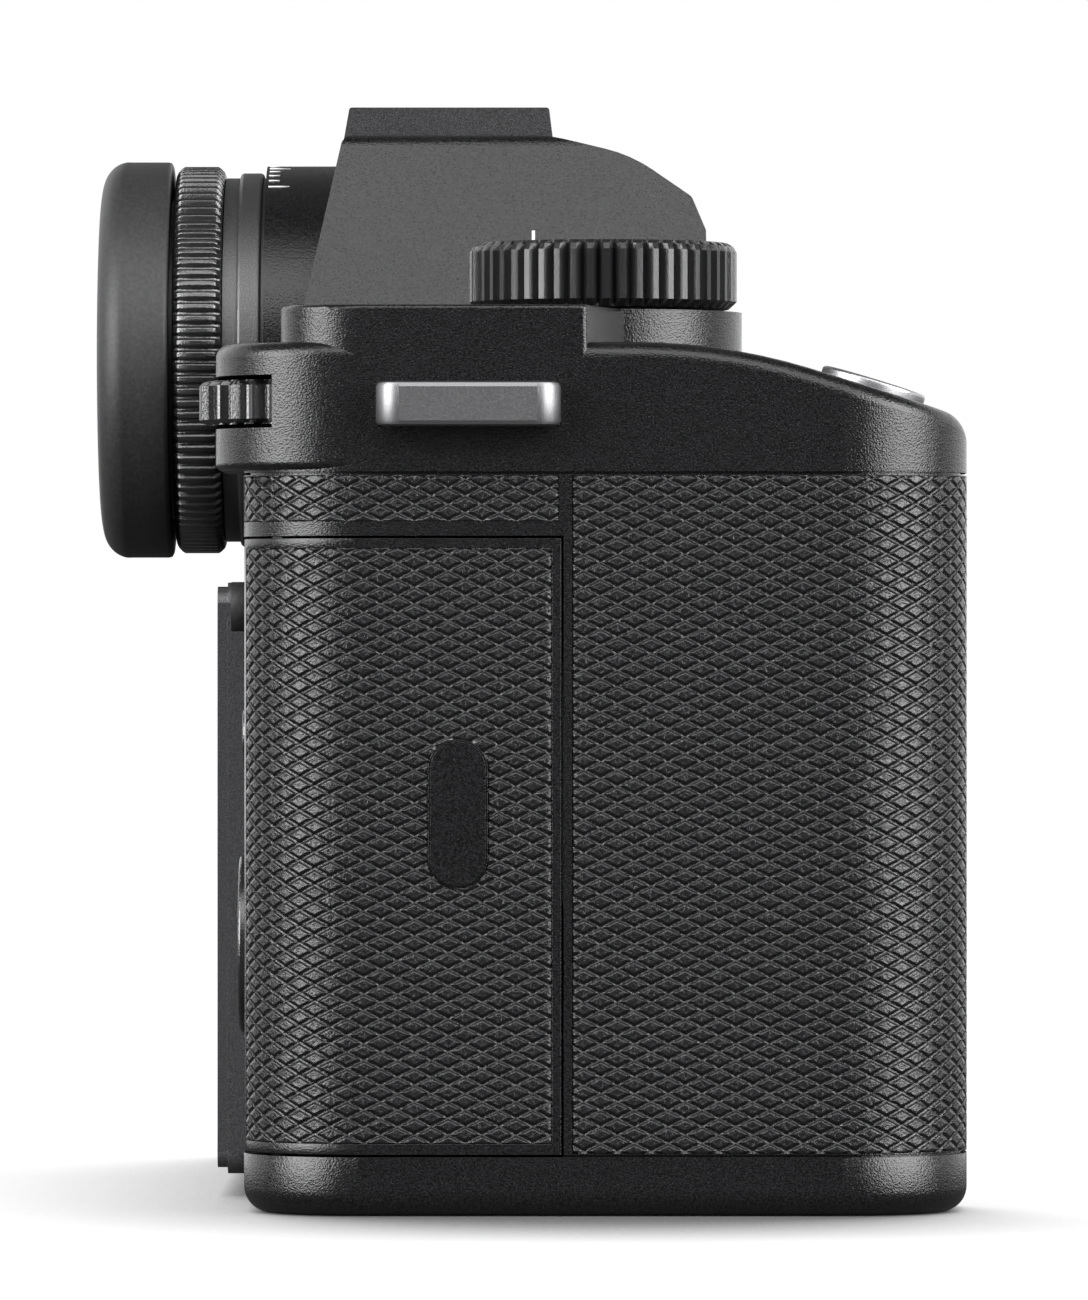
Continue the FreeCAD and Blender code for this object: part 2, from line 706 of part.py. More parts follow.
carriage_y0 = shutter_y1 + 1.0
carriage_y1 = -1.5
carriage = front_pad(-24.0, 24.0, carriage_y0, carriage_y1, lens_z - 17.5, lens_z + 17.5, 2.0)
carriage = carriage.cut(box(-18.0, 18.0, carriage_y0 - 1, -2.4, lens_z - 12.0, lens_z + 12.0))
glass_y0 = sensor_y - 1.6
carriage = carriage.cut(box(-18.6, 18.6, -9, sensor_y - 0.6, lens_z - 12.6, lens_z + 12.6))
keep("sensor_carriage", carriage)
keep("image_sensor", box(-18.0, 18.0, sensor_y, -2.4, lens_z - 12.0, lens_z + 12.0))
keep(
    "sensor_cover_glass",
    box(-18.6, 18.6, glass_y0, sensor_y - 0.6, lens_z - 12.6, lens_z + 12.6),
)
slide_plate = front_pad(-27.0, 27.0, -1.2, -0.5, lens_z - 20.0, lens_z + 20.0, 2.0)
keep("stabiliser_slide", slide_plate.cut(box(-12, 12, -9, 9, lens_z - 8, lens_z + 8)))
yoke = front_pad(-36.0, 36.0, -0.2, 1.4, lens_z - 29.0, lens_z + 27.5, 3.0)
yoke = yoke.cut(box(-10, 10, -9, 9, lens_z - 7, lens_z + 7))
keep("stabiliser_yoke", yoke)

board_y = 1.4
board_x1 = 48.8
board = front_pad(-25.0, board_x1, board_y, board_y + 1.2, 11.0, 64.5, 1.0)
chip_y = board_y + 1.2
chips = [
    box(-10, 8, chip_y, chip_y + 1.6, 30, 48), box(14, 24, chip_y, chip_y + 1.2, 40, 52),
    box(14, 24, chip_y, chip_y + 1.2, 24, 36), box(-20, -14, chip_y, chip_y + 1.0, 16, 28),
    box(30, 44, chip_y, chip_y + 2.2, 14, 20), box(30, 40, chip_y, chip_y + 1.0, 30, 40),
]
keep("main_board", fused([board] + chips))

# Viewfinder

sleeve_r = 16.0
barrel = rod(0, 6.0, eye_z, axis_y, spigot_r, neck_y - 6.0)
barrel = barrel.fuse(rod(0, tube_y0, eye_z, axis_y, 13.6, 16.0))
barrel = barrel.fuse(rod(0, neck_y, eye_z, axis_y, neck_r, ring_y0 - neck_y))
mid = rod(0, mid_y0, eye_z, axis_y, barrel_mid_r, ring_y0 - 1.4 - mid_y0)
barrel = barrel.fuse(mid.makeFillet(0.4, [mid.Edges[0], mid.Edges[2]]))
barrel = barrel.fuse(rod(0, ring_y0, eye_z, axis_y, sleeve_r, cup_y1 - 4.5 - ring_y0))
barrel = barrel.cut(rod(0, tube_y0 + 4.0, eye_z, axis_y, eye_bore_r, 60))
barrel = barrel.cut(box(-10, 10, -20, 0, eye_z - 8, eye_z + 8))
keep("eyepiece_barrel", barrel)
keep("viewfinder_display", box(-10, 10, tube_y0, tube_y0 + 2.4, eye_z - 8, eye_z + 8))
lenses = []
for y, bulge in ((2.0, 18.0), (12.0, 26.0), (cup_y1 - 9.0, 30.0)):
    lens = rod(0, y, eye_z, axis_y, eye_bore_r, 4.0)
    ball = Part.makeSphere(bulge, V(0, y + 4.0 - bulge, eye_z))
    lenses.append(lens.common(ball).fuse(rod(0, y, eye_z, axis_y, eye_bore_r, 1.0)))
keep("viewfinder_lenses", *lenses)


def toothed(x, y, z, axis, r, height, count, depth, share):
    """A knurled wheel: a rod with straight grooves cut round its rim."""
    wheel = rod(0, 0, 0, (0, 0, 1), r, height)
    edge = 0.45
    wheel = wheel.makeChamfer(edge, [e for e in wheel.Edges if e.BoundBox.XLength > r])
    half = math.pi * r / count * share
    grooves = []
    for i in range(count):
        groove = Part.makePolygon(
            [V(r - depth, 0, -1), V(r + 0.5, -half, -1), V(r + 0.5, half, -1), V(r - depth, 0, -1)]
        )
        groove = Part.Face(groove).extrude(V(0, 0, height + 2))
        groove.rotate(V(0, 0, 0), V(0, 0, 1), 360.0 * i / count)
        grooves.append(groove)
    wheel = wheel.cut(Part.makeCompound(grooves))
    if axis == axis_y:
        wheel.rotate(V(0, 0, 0), V(1, 0, 0), -90)
    wheel.translate(V(x, y, z))
    return wheel


ring_teeth = 100
dioptre_ring = toothed(0, ring_y0 + 0.1, eye_z, axis_y, ring_r, ring_y1 - ring_y0, ring_teeth, 0.4, 0.45)
dioptre_ring = dioptre_ring.cut(rod(0, 20, eye_z, axis_y, sleeve_r + pin_gap, 20))
keep("dioptre_ring", dioptre_ring)

cup_y0 = ring_y1 + 0.35


def eyecup():
    """A rubber cup, turned from its half profile given as (radius, y)."""
    profile = [
        (sleeve_r, cup_y0), (cup_r, cup_y0), (cup_r, cup_y1 - 2.1), (19.0, cup_y1 - 0.8),
        (17.8, cup_y1 - 0.2), (16.6, cup_y1), (15.2, cup_y1 - 0.4), (13.2, cup_y1 - 2.6),
        (12.6, cup_y1 - 4.5), (sleeve_r, cup_y1 - 4.5),
    ]
    points = [V(r, y, 0) for r, y in profile]
    face = Part.Face(Part.makePolygon(points + points[:1]))
    turned = face.revolve(V(0, 0, 0), V(0, 1, 0), 360)
    turned.translate(V(0, 0, eye_z))
    return turned


keep("eyecup", eyecup())
# Hot shoe

shoe_half = 11.0
shoe_in = 9.35
shoe_low_z = shoe_top_z - 4.0
shoe = side_slab(
    [(-6.0, shoe_low_z, 0), (-5.5, shoe_top_z, 0.3), (14.4, shoe_top_z, 0.3), (15.1, shoe_low_z, 0)],
    -shoe_half, shoe_half,
)
shoe = shoe.cut(box(-shoe_in, shoe_in, -9, 13.2, shoe_top_z - 3.4, shoe_top_z - 1.4))
shoe = shoe.cut(box(-6.3, 6.3, -9, 13.2, shoe_top_z - 3.4, shoe_top_z + 1))
shoe = shoe.cut(box(-shoe_in, shoe_in, 13.0, 14.2, shoe_top_z - 3.4, shoe_top_z + 1))
keep("hot_shoe", shoe)
shoe_floor = shoe_top_z - 3.4
shoe_contacts = []
for x, y in ((0, 3.5), (-4.0, 8.2), (4.0, 8.2), (-5.4, 4.2), (5.4, 4.2)):
    shoe_contacts.append(rod(x, y, shoe_floor, axis_z, 1.0 if x else 1.5, 0.12))
keep("hot_shoe_contacts", *shoe_contacts)

# Dials, wheel and shutter button

right_dial = toothed(
    dial_x, dial_y, dial_z0, axis_z, dial_r, dial_z1 - dial_z0, 50, 0.55, 0.5
)
keep("right_dial", right_dial.fuse(rod(dial_x, dial_y, dial_z0 - 7, axis_z, dial_shaft_r, 8)))
mode_dial = toothed(
    left_dial_x, left_dial_y, left_base_z + gap, axis_z, left_dial_r, 7.0, 42, 0.5, 0.5
)
mode_shaft = rod(left_dial_x, left_dial_y, left_base_z + gap - 7, axis_z, dial_shaft_r, 8)
keep("mode_dial", mode_dial.fuse(mode_shaft))

wheel_ridges = 29
scallop_r = 1.0
wheel = rod(wheel_x, wheel_y, wheel_z0, axis_z, wheel_r, wheel_z1 - wheel_z0)
scallops = []
for i in range(wheel_ridges):
    angle = 2 * math.pi * i / wheel_ridges
    x = wheel_x + (wheel_r + 0.45) * math.cos(angle)
    y = wheel_y + (wheel_r + 0.45) * math.sin(angle)
    scallops.append(rod(x, y, wheel_z0 - 1, axis_z, scallop_r, 8))
axle_r = 1.5
wheel = wheel.cut(Part.makeCompound(scallops))
wheel = wheel.cut(rod(wheel_x, wheel_y, 70, axis_z, axle_r + pin_gap, 20))
keep("thumb_wheel", wheel)
axle_z0 = wheel_z0 - 0.35
axle = rod(wheel_x, wheel_y, axle_z0, axis_z, axle_r, ledge_z - wall - axle_z0 + 0.4)
axle = axle.fuse(rod(wheel_x, wheel_y, axle_z0 - 1.2, axis_z, 3.4, 1.2))
keep("thumb_wheel_axle", axle)
top_cover = top_cover.fuse(rod(wheel_x, wheel_y, wheel_z1 + 0.4, axis_z, 3.4, 2.6))
top_cover = top_cover.cut(axle).removeSplitter()

disc = tilted_rod(shutter_r, -1.8, 0)
disc_rim = [e for e in disc.Edges if e.BoundBox.ZMax > shutter_z + 1.2]
disc = disc.makeFillet(0.35, disc_rim)
keep("shutter_button", disc.fuse(tilted_rod(2.0, -8.0, -1.0)).fuse(tilted_rod(2.9, -8.0, -7.0)))
top_cover = top_cover.cut(tilted_rod(3.3, -9.6, -6.2))

# Buttons on the rear and the front

rear_inner_y = rear_y - wall


def rear_button(x, z, r, proud):
    stem = rod(x, rear_inner_y - 1.2, z, axis_y, r, wall + 1.2 + proud)
    stem = stem.makeFillet(0.3, [e for e in stem.Edges if e.BoundBox.YMin > rear_y + proud - 0.1])
    return stem.fuse(rod(x, rear_inner_y - 1.2, z, axis_y, r + 0.8, 0.8))


def rear_hole(x, z, r):
    return rod(x, rear_inner_y - 4, z, axis_y, r + 0.12, 9)


menu_place = (-40.0, 45.0, 2.6)
pad_place = (-46.5, 25.0, 8.5)
joystick_place = (-40.0, 57.5, 2.4)
keep("menu_button", rear_button(*menu_place, 0.7))
pad_button = rear_button(*pad_place, 0.8)
pad_dish = Part.makeCone(6.6, 5.6, 0.7, V(pad_place[0], rear_y + 0.81, pad_place[1]), V(0, -1, 0))
keep("control_pad", pad_button.cut(pad_dish))
stick_x, stick_z, stick_r = joystick_place
stick_y = rear_inner_y - 2.0
stick = rod(stick_x, stick_y, stick_z, axis_y, 1.1, wall + 2.2)
stick = stick.fuse(rod(stick_x, rear_y + 0.1, stick_z, axis_y, stick_r, 1.7))
trunnion = rod(stick_x - 1.5, rear_inner_y, stick_z, (1, 0, 0), 0.8, 3.0)
stick = stick.fuse(rod(stick_x, stick_y, stick_z, axis_y, 2.4, 0.8)).fuse(trunnion)
keep("joystick", stick)
stick_room = rod(stick_x, rear_inner_y - 1, stick_z, axis_y, 1.9, 5)
stick_dish = rod(stick_x, rear_y - 0.7, stick_z, axis_y, 3.4, 2)
for place in (menu_place, pad_place):
    rear_shell = rear_shell.cut(rear_hole(*place))
rear_shell = rear_shell.cut(stick_room).cut(stick_dish)

front_button_place = (-36.6, 18.5, 2.2)
x, z, r = front_button_place
stem = rod(x, front_y - 0.6, z, axis_y, r, wall + 1.8)
stem = stem.makeFillet(0.3, [e for e in stem.Edges if e.BoundBox.YMax < front_y - 0.5])
keep("front_button", stem.fuse(rod(x, front_y + wall + 0.4, z, axis_y, r + 0.8, 0.8)))
front_hole = rod(x, front_y - 9, z, axis_y, r + 0.12, 14)
front_shell = front_shell.cut(front_hole)
chassis = chassis.cut(rod(x, -19, z, axis_y, r + 1.4, 9.5))
grip_skin = grip_skin.cut(rod(x, front_y - 9, z, axis_y, r + 0.8, 14))
keep("grip_leather", grip_skin)
keep("chassis", chassis.removeSplitter())

# Rear display on its two hinges

arm_y0 = recess_y + 0.3
arm_y1 = housing_y - gap
pivot_low = (22.3, 3.9)
pivot_high = (24.2, 58.6)
hinge_r = 1.3
hinge_pin_r = 0.8
ear_w = 3.0
ear_left = screen_x0 + 3.5
ear_right = screen_x1 - 3.5 - ear_w
glass_y = screen_y1 - 1.0


def ear(x, pivot, z_root):
    """A lug from the arm's plate to a hinge pin, with a round end."""
    y, z = pivot
    arm_mid = (arm_y0 + arm_y1) / 2
    web = side_slab(
        [(arm_y0, z_root, 0), (arm_y1, z_root, 0), (y + hinge_r * 0.7, z, 0), (y - hinge_r, z, 0)]
        if z_root < z
        else [(y - hinge_r, z, 0), (y + hinge_r * 0.7, z, 0), (arm_y1, z_root, 0), (arm_y0, z_root, 0)],
        x, x + ear_w,
    )
    return web.fuse(rod(x, y, z, (1, 0, 0), hinge_r, ear_w))


arm = front_pad(screen_x0 + 3.5, screen_x1 - 3.5, arm_y0, arm_y1, 8.0, 54.0, 1.0)
arm = arm.cut(front_pad(screen_x0 + 14, screen_x1 - 14, arm_y0 - 1, arm_y1 + 1, 18.0, 44.0, 3.0))
for x in (ear_left, ear_right):
    arm = arm.fuse(ear(x, pivot_low, 8.5)).fuse(ear(x, pivot_high, 53.5))
pin_reach = 1.9
arm = arm.fuse(
    rod(ear_left - pin_reach, pivot_high[0], pivot_high[1], (1, 0, 0), hinge_pin_r, pin_reach + 1)
)
arm = arm.fuse(
    rod(ear_right + ear_w - 1, pivot_high[0], pivot_high[1], (1, 0, 0), hinge_pin_r, pin_reach + 1)
)
low_reach = ear_left - screen_x0 + 1.6
arm = arm.fuse(
    rod(ear_left - low_reach, pivot_low[0], pivot_low[1], (1, 0, 0), hinge_pin_r, low_reach + 1)
)
arm = arm.fuse(
    rod(ear_right + ear_w - 1, pivot_low[0], pivot_low[1], (1, 0, 0), hinge_pin_r, low_reach + 1)
)
keep("display_arm", arm.removeSplitter())

housing = front_slab(
    [
        (screen_x0, screen_z0, 2.0), (screen_x1, screen_z0, 2.0), (screen_x1, screen_z1, 2.0),
        (screen_x0, screen_z1, 2.0),
    ],
    housing_y, glass_y,
)
housing = housing.fuse(
    front_pad(
        screen_x0 + 0.4, screen_x1 - 0.4, glass_y, screen_y1, screen_z0 + 0.6, screen_z1 - 0.4, 1.6
    )
)
ear_room = pin_gap + 0.35
for x in (ear_left, ear_right):
    housing = housing.cut(box(x - ear_room, x + ear_w + ear_room, 0, glass_y - 0.2, 52.0, 99))
    housing = housing.cut(box(x - ear_room, x + ear_w + ear_room, 0, glass_y - 0.2, -9, 10.0))
pin_room_z = pivot_low[1] + hinge_r + 0.4
housing = housing.cut(box(-far, ear_left + 1, 0, pivot_low[0] + 1.2, 0, pin_room_z))
housing = housing.cut(box(ear_right + ear_w - 1, far, 0, pivot_low[0] + 1.2, 0, pin_room_z))
hole_x0 = ear_left - pin_reach - 0.2
hole_x1 = ear_right + ear_w + pin_reach + 0.2
housing = housing.cut(
    rod(hole_x0, pivot_high[0], pivot_high[1], (1, 0, 0), hinge_pin_r + pin_gap, hole_x1 - hole_x0)
)
glass_place = (screen_x0 + 1.6, screen_x1 - 1.6, screen_z0 + 1.8, screen_z1 - 1.6)
gx0, gx1, gz0, gz1 = glass_place
glass = front_pad(gx0, gx1, glass_y + 0.2, screen_y1, gz0, gz1, 1.2)
keep("display_housing", housing.cut(glass))
keep("display_glass", glass)

# Card compartment and its door

cage_x0 = -66.0
cage_x1 = -28.0
cage = box(cage_x0, cage_x1, 4.0, 17.0, 20.0, 60.0)
for y in (6.0, 12.2):
    cage = cage.cut(box(cage_x0 - 1, cage_x0 + 32.0, y, y + 2.3, 24.0, 48.3))
cage = cage.cut(box(cage_x0 - 1, cage_x0 + 1.4, 5.0, 15.6, 22.5, 50.0))
for x, z in ((-54, 56.0), (-54, 38.0), (-38, 51.0), (-38, 38.0)):
    cage = cage.fuse(rod(x, 17.0, z, axis_y, 1.8, rear_inner_y - 17.0))
cage = cage.cut(rod(pad_place[0], 15, pad_place[1], axis_y, pad_place[2] + 1.6, 9))
keep("card_cage", cage)

arm_h = 3.2
knuckle_z0 = door_z0 + arm_h + gap
knuckle_z1 = door_z1 - arm_h - gap
door = slab(body_plan(0), door_z0, door_z1).cut(slab(body_plan(door_thick), 0, 99))
door = door.common(box(-far, door_pin_x, door_y0, far, 0, 99))
door = door.fuse(
    rod(door_pin_x, door_pin_y, knuckle_z0, axis_z, door_knuckle_r, knuckle_z1 - knuckle_z0)
)
for z0, z1 in ((door_z0 - 1, knuckle_z0), (knuckle_z1, door_z1 + 1)):
    door = door.cut(rod(door_pin_x, door_pin_y, z0, axis_z, door_knuckle_r - 0.1, z1 - z0))
slide_pin_r = 0.9
door = door.cut(rod(door_pin_x, door_pin_y, 0, axis_z, slide_pin_r + pin_gap, 99))
hook = box(grip_side_x + 1.0, grip_side_x + 3.4, door_y0 + 2.0, door_y0 + 3.4, 30.0, 40.0)
door = door.fuse(hook)
door_skin = skin_layer(box(-far, door_pin_x - 1.2, door_y0 + 0.85, far, door_z0 + 1.0, door_z1 - 0.9), None)
pill_y = 3.1
pill_z = 37.9
pill_half_w = 2.6
pill_half_h = 6.8
pill = side_pad(
    grip_side_x - 0.25, grip_side_x + 1.2, pill_y - pill_half_w, pill_y + pill_half_w,
    pill_z - pill_half_h, pill_z + pill_half_h, pill_half_w - 0.01,
)
door_skin = door_skin.cut(
    side_pad(
        grip_side_x - 1, grip_side_x + 2, pill_y - pill_half_w - 0.2, pill_y + pill_half_w + 0.2,
        pill_z - pill_half_h - 0.2, pill_z + pill_half_h + 0.2, pill_half_w + 0.19,
    )
)
door = door.cut(door_skin).cut(pill)
keep("card_door", door)
keep("card_door_leather", door_skin)
keep("card_door_pad", pill)

slide = rod(door_pin_x, door_pin_y, door_z0 + 0.3, axis_z, slide_pin_r, door_z1 - door_z0 - 0.6)
for z0, z1 in ((door_z0 + 0.3, knuckle_z0 - gap), (knuckle_z1 + gap, door_z1 - 0.3)):
    link = slab(
        [
            (-67.0, 7.0, 0.5), (-64.0, 7.0, 0.5), (-62.6, 19.4, 0.5), (door_pin_x + 1.2, 20.4, 0.3),
            (door_pin_x + 1.2, 22.2, 0.8), (door_pin_x - 1.2, 22.2, 0.8), (-64.8, 19.0, 0.5),
        ],
        z0, z1,
    )
    slide = slide.fuse(link).fuse(rod(door_pin_x, door_pin_y, z0, axis_z, 1.5, z1 - z0))
keep("card_door_slide", slide.removeSplitter())
slide_room = box(door_pin_x - 3, door_pin_x + 1.6, 15, door_pin_y + 1.3, door_z0 - seam, door_z1 + seam)
rear_shell = rear_shell.cut(slide_room)

# Battery, its bay and its release lever

battery = pad(battery_x0, battery_x1, battery_y0, battery_y1, 0.05, battery_top, 3.0)
battery = battery.cut(pad(battery_x0 + 4, battery_x1 - 4, battery_y1 - 9, battery_y1 - 6, -1, 1.0, 1.2))
keep("battery", battery)
bay_out = pad(
    battery_x0 - 1.0, battery_x1 + 1.0, battery_y0 - 1.0, battery_y1 + 1.0, base_top,
    battery_top + 3.0, 4.0,
)
bay_in = pad(
    battery_x0 - gap, battery_x1 + gap, battery_y0 - gap, battery_y1 + gap, 0,
    battery_top + 0.5, 3.3,
)
keep("battery_bay", bay_out.cut(bay_in))
lever = pad(lever_x - 10.0, lever_x + 2.0, lever_y - 2.0, lever_y + 2.0, 0.3, 1.5, 1.9)
lever = lever.fuse(rod(lever_x, lever_y, 0.3, axis_z, 1.0, 4.4))
keep("battery_lever", lever)
lever_hole = rod(lever_x, lever_y, 0, axis_z, 1.0 + pin_gap, 9)

# Sockets and their doors on the other side

floor_x0 = left_side_x - 4.5
floor_x1 = left_side_x - wall
port_y0 = -5.6
port_y1 = 12.0
port_pin_r = 0.6
port_knuckle_r = 1.2
port_pin_x = left_side_x - port_knuckle_r - 0.05
port_zones = [("port_door_lower", 9.0, 31.0), ("port_door_upper", 34.0, 62.0)]
jack_r = 1.8
socket_y = 4.0
rear_shell = rear_shell.fuse(box(floor_x0, floor_x1, split_y, 15.0, base_top, 65.0))
for name, z0, z1 in port_zones:
    room = side_pad(floor_x1, left_side_x + 2, port_y0 - 1.5, port_y1 + seam, z0 - seam, z1 + seam, 0.6)
    rear_shell = rear_shell.cut(room)
    rear_shell = rear_shell.cut(
        rod(port_pin_x, port_y0, z0 - seam, axis_z, port_knuckle_r + gap, z1 - z0 + 2 * seam)
    )
    rear_shell = rear_shell.cut(
        rod(port_pin_x, port_y0, z0 - 1.2, axis_z, port_pin_r + pin_gap, z1 - z0 + 2.4)
    )
    leaf = box(left_side_x - 1.7, left_side_x, port_y0, port_y1, z0, z1)
    leaf = leaf.fuse(rod(port_pin_x, port_y0, z0, axis_z, port_knuckle_r, z1 - z0))
    leaf = leaf.fuse(rod(port_pin_x, port_y0, z0 - 1.0, axis_z, port_pin_r, z1 - z0 + 2.0))
    slot_x = left_side_x - 0.4
    grip_slot = side_pad(slot_x, slot_x + 1.4, port_y1 - 2.2, port_y1 - 1.2, z0 + 6, z1 - 6, 0.4)
    leaf = leaf.cut(grip_slot)
    keep(name, leaf)

sockets = [box(board_x1, socket_x0, -2.0, 11.0, 8.0, 62.0)]
rear_shell = rear_shell.cut(
    side_pad(floor_x0 - 1, floor_x1 + 1, socket_y - 1.7, socket_y + 1.7, 38.0, 47.2, 1.6)
)
rear_shell = rear_shell.cut(
    side_pad(floor_x0 - 1, floor_x1 + 1, socket_y - 2.4, socket_y + 2.4, 49.0 - 0.4, 60.0, 0.5)
)
charge_port = side_pad(socket_x0, floor_x0, socket_y - 2.3, socket_y + 2.3, 37.4, 47.8, 2.2)
video_port = side_pad(socket_x0, floor_x0, socket_y - 3.1, socket_y + 3.1, 48.4, 60.6, 0.5)
charge_room = side_pad(socket_x0 + 1.6, 99, socket_y - 1.65, socket_y + 1.65, 38.1, 47.1, 1.6)
charge_port = charge_port.cut(charge_room)
video_port = video_port.cut(side_pad(socket_x0 + 1.2, 99, socket_y - 2.3, socket_y + 2.3, 49.2, 59.8, 0.5))
tongue = side_pad(
    socket_x0 + 1.1, floor_x0 - 0.6, socket_y - 0.35, socket_y + 0.35, 39.4, 45.8, 0.3
)
charge_port = charge_port.fuse(tongue)
sockets += [charge_port, video_port]
for z in jack_z:
    jack = rod(socket_x0, socket_y, z, (1, 0, 0), 4.0, floor_x0 - socket_x0)
    jack = jack.cut(rod(socket_x0, socket_y, z, (1, 0, 0), jack_r, 20))
    sockets.append(jack)
    rear_shell = rear_shell.cut(rod(floor_x0 - 1, socket_y, z, (1, 0, 0), jack_r, 9))
keep("sockets", fused(sockets))

plate = pieces["base_plate"][0].cut(lever_hole)
keep("base_plate", plate)
keep("front_shell", front_shell.removeSplitter())
keep("rear_shell", rear_shell.removeSplitter())
keep("top_cover", top_cover)

for name, solids in pieces.items():
    shape = solids[0] if len(solids) == 1 else Part.makeCompound(solids)
    shape.exportStep("parts/" + name + ".step")
    print(name, len(solids), all(s.isValid() for s in solids))
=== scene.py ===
import math

import bpy
import numpy as np
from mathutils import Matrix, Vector


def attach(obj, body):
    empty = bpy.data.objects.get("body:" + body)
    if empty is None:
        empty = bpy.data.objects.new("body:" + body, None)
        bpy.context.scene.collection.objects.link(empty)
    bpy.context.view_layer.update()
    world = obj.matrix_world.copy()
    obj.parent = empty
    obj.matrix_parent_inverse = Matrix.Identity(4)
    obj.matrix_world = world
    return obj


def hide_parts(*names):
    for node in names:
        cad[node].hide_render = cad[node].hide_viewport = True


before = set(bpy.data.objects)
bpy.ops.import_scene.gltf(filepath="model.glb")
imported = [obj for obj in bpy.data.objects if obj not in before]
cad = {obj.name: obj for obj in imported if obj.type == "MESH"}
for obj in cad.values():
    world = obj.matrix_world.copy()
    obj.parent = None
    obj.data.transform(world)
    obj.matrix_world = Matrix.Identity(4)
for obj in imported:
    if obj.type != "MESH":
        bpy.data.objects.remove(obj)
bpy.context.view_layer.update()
MM = 0.001


# Painted metal: the shells, top cover, base plate and card door are cast magnesium,
# sprayed with black grained paint. The display's back has the same paint in a lighter
# grey tone, and the accessory shoe has the black paint in a lighter tone that is painted
# light. One grain is about 0.2 mm wide.


def sprayed_grain():
    """Node group: noise at a grain size, as a colour between two tones and as a normal."""
    group = bpy.data.node_groups.new("sprayed grain", "ShaderNodeTree")
    face = group.interface
    face.new_socket("Dark", in_out="INPUT", socket_type="NodeSocketColor")
    face.new_socket("Light", in_out="INPUT", socket_type="NodeSocketColor")
    face.new_socket("Grains per metre", in_out="INPUT", socket_type="NodeSocketFloat")
    face.new_socket("Depth", in_out="INPUT", socket_type="NodeSocketFloat")
    face.new_socket("Roughness", in_out="INPUT", socket_type="NodeSocketFloat")
    face.new_socket("Color", in_out="OUTPUT", socket_type="NodeSocketColor")
    face.new_socket("Roughness", in_out="OUTPUT", socket_type="NodeSocketFloat")
    face.new_socket("Normal", in_out="OUTPUT", socket_type="NodeSocketVector")
    nodes = group.nodes
    links = group.links
    taken = nodes.new("NodeGroupInput")
    given = nodes.new("NodeGroupOutput")
    place = nodes.new("ShaderNodeTexCoord")
    fine = nodes.new("ShaderNodeTexNoise")
    fine.inputs["Detail"].default_value = 1.0
    links.new(place.outputs["Object"], fine.inputs["Vector"])
    links.new(taken.outputs["Grains per metre"], fine.inputs["Scale"])
    cloud = nodes.new("ShaderNodeTexNoise")
    cloud.inputs["Scale"].default_value = 45.0
    cloud.inputs["Detail"].default_value = 4.0
    links.new(place.outputs["Object"], cloud.inputs["Vector"])
    spread = nodes.new("ShaderNodeMapRange")
    spread.inputs["From Min"].default_value = 0.35
    spread.inputs["From Max"].default_value = 0.72
    links.new(fine.outputs["Fac"], spread.inputs["Value"])
    tone = nodes.new("ShaderNodeMix")
    tone.data_type = "RGBA"
    links.new(spread.outputs["Result"], tone.inputs[0])
    links.new(taken.outputs["Dark"], tone.inputs[6])
    links.new(taken.outputs["Light"], tone.inputs[7])
    uneven = nodes.new("ShaderNodeMapRange")
    uneven.inputs["To Min"].default_value = -0.04
    uneven.inputs["To Max"].default_value = 0.04
    links.new(cloud.outputs["Fac"], uneven.inputs["Value"])
    rough = nodes.new("ShaderNodeMath")
    rough.operation = "ADD"
    links.new(uneven.outputs["Result"], rough.inputs[0])
    links.new(taken.outputs["Roughness"], rough.inputs[1])
    bump = nodes.new("ShaderNodeBump")
    bump.inputs["Distance"].default_value = 0.00005
    links.new(taken.outputs["Depth"], bump.inputs["Strength"])
    links.new(fine.outputs["Fac"], bump.inputs["Height"])
    links.new(tone.outputs[2], given.inputs["Color"])
    links.new(rough.outputs[0], given.inputs["Roughness"])
    links.new(bump.outputs["Normal"], given.inputs["Normal"])
    return group


grain_group = sprayed_grain()


def grained(name, dark, light, grains, depth, rough=0.42, specular=0.5):
    """A material whose colour, roughness and normal come from the sprayed grain."""
    material = bpy.data.materials.new(name)
    material.use_nodes = True
    nodes = material.node_tree.nodes
    links = material.node_tree.links
    shader = nodes["Principled BSDF"]
    grain = nodes.new("ShaderNodeGroup")
    grain.node_tree = grain_group
    grain.inputs["Dark"].default_value = (*dark, 1.0)
    grain.inputs["Light"].default_value = (*light, 1.0)
    grain.inputs["Grains per metre"].default_value = grains
    grain.inputs["Depth"].default_value = depth
    grain.inputs["Roughness"].default_value = rough
    shader.inputs["Specular IOR Level"].default_value = specular
    links.new(grain.outputs["Color"], shader.inputs["Base Color"])
    links.new(grain.outputs["Roughness"], shader.inputs["Roughness"])
    links.new(grain.outputs["Normal"], shader.inputs["Normal"])
    return material


black_paint = grained(
    "black grained paint", (0.0003, 0.0003, 0.0004), (0.010, 0.010, 0.011), 5600.0, 1.0,
    rough=0.25, specular=0.4,
)


def dressed(node, material, edge=0.0):
    """Gives a CAD piece its finish, and rounds its sharp edges by a small width."""
    piece = cad[node]
    piece.data.materials.clear()
    piece.data.materials.append(material)
    if edge > 0.0:
        weld = piece.modifiers.new("weld", "WELD")
        weld.merge_threshold = 0.000002
        bevel = piece.modifiers.new("edge", "BEVEL")
        bevel.width = edge * MM
        bevel.segments = 2
        bevel.limit_method = "ANGLE"
        bevel.angle_limit = math.radians(35.0)
        bevel.harden_normals = False
    return piece


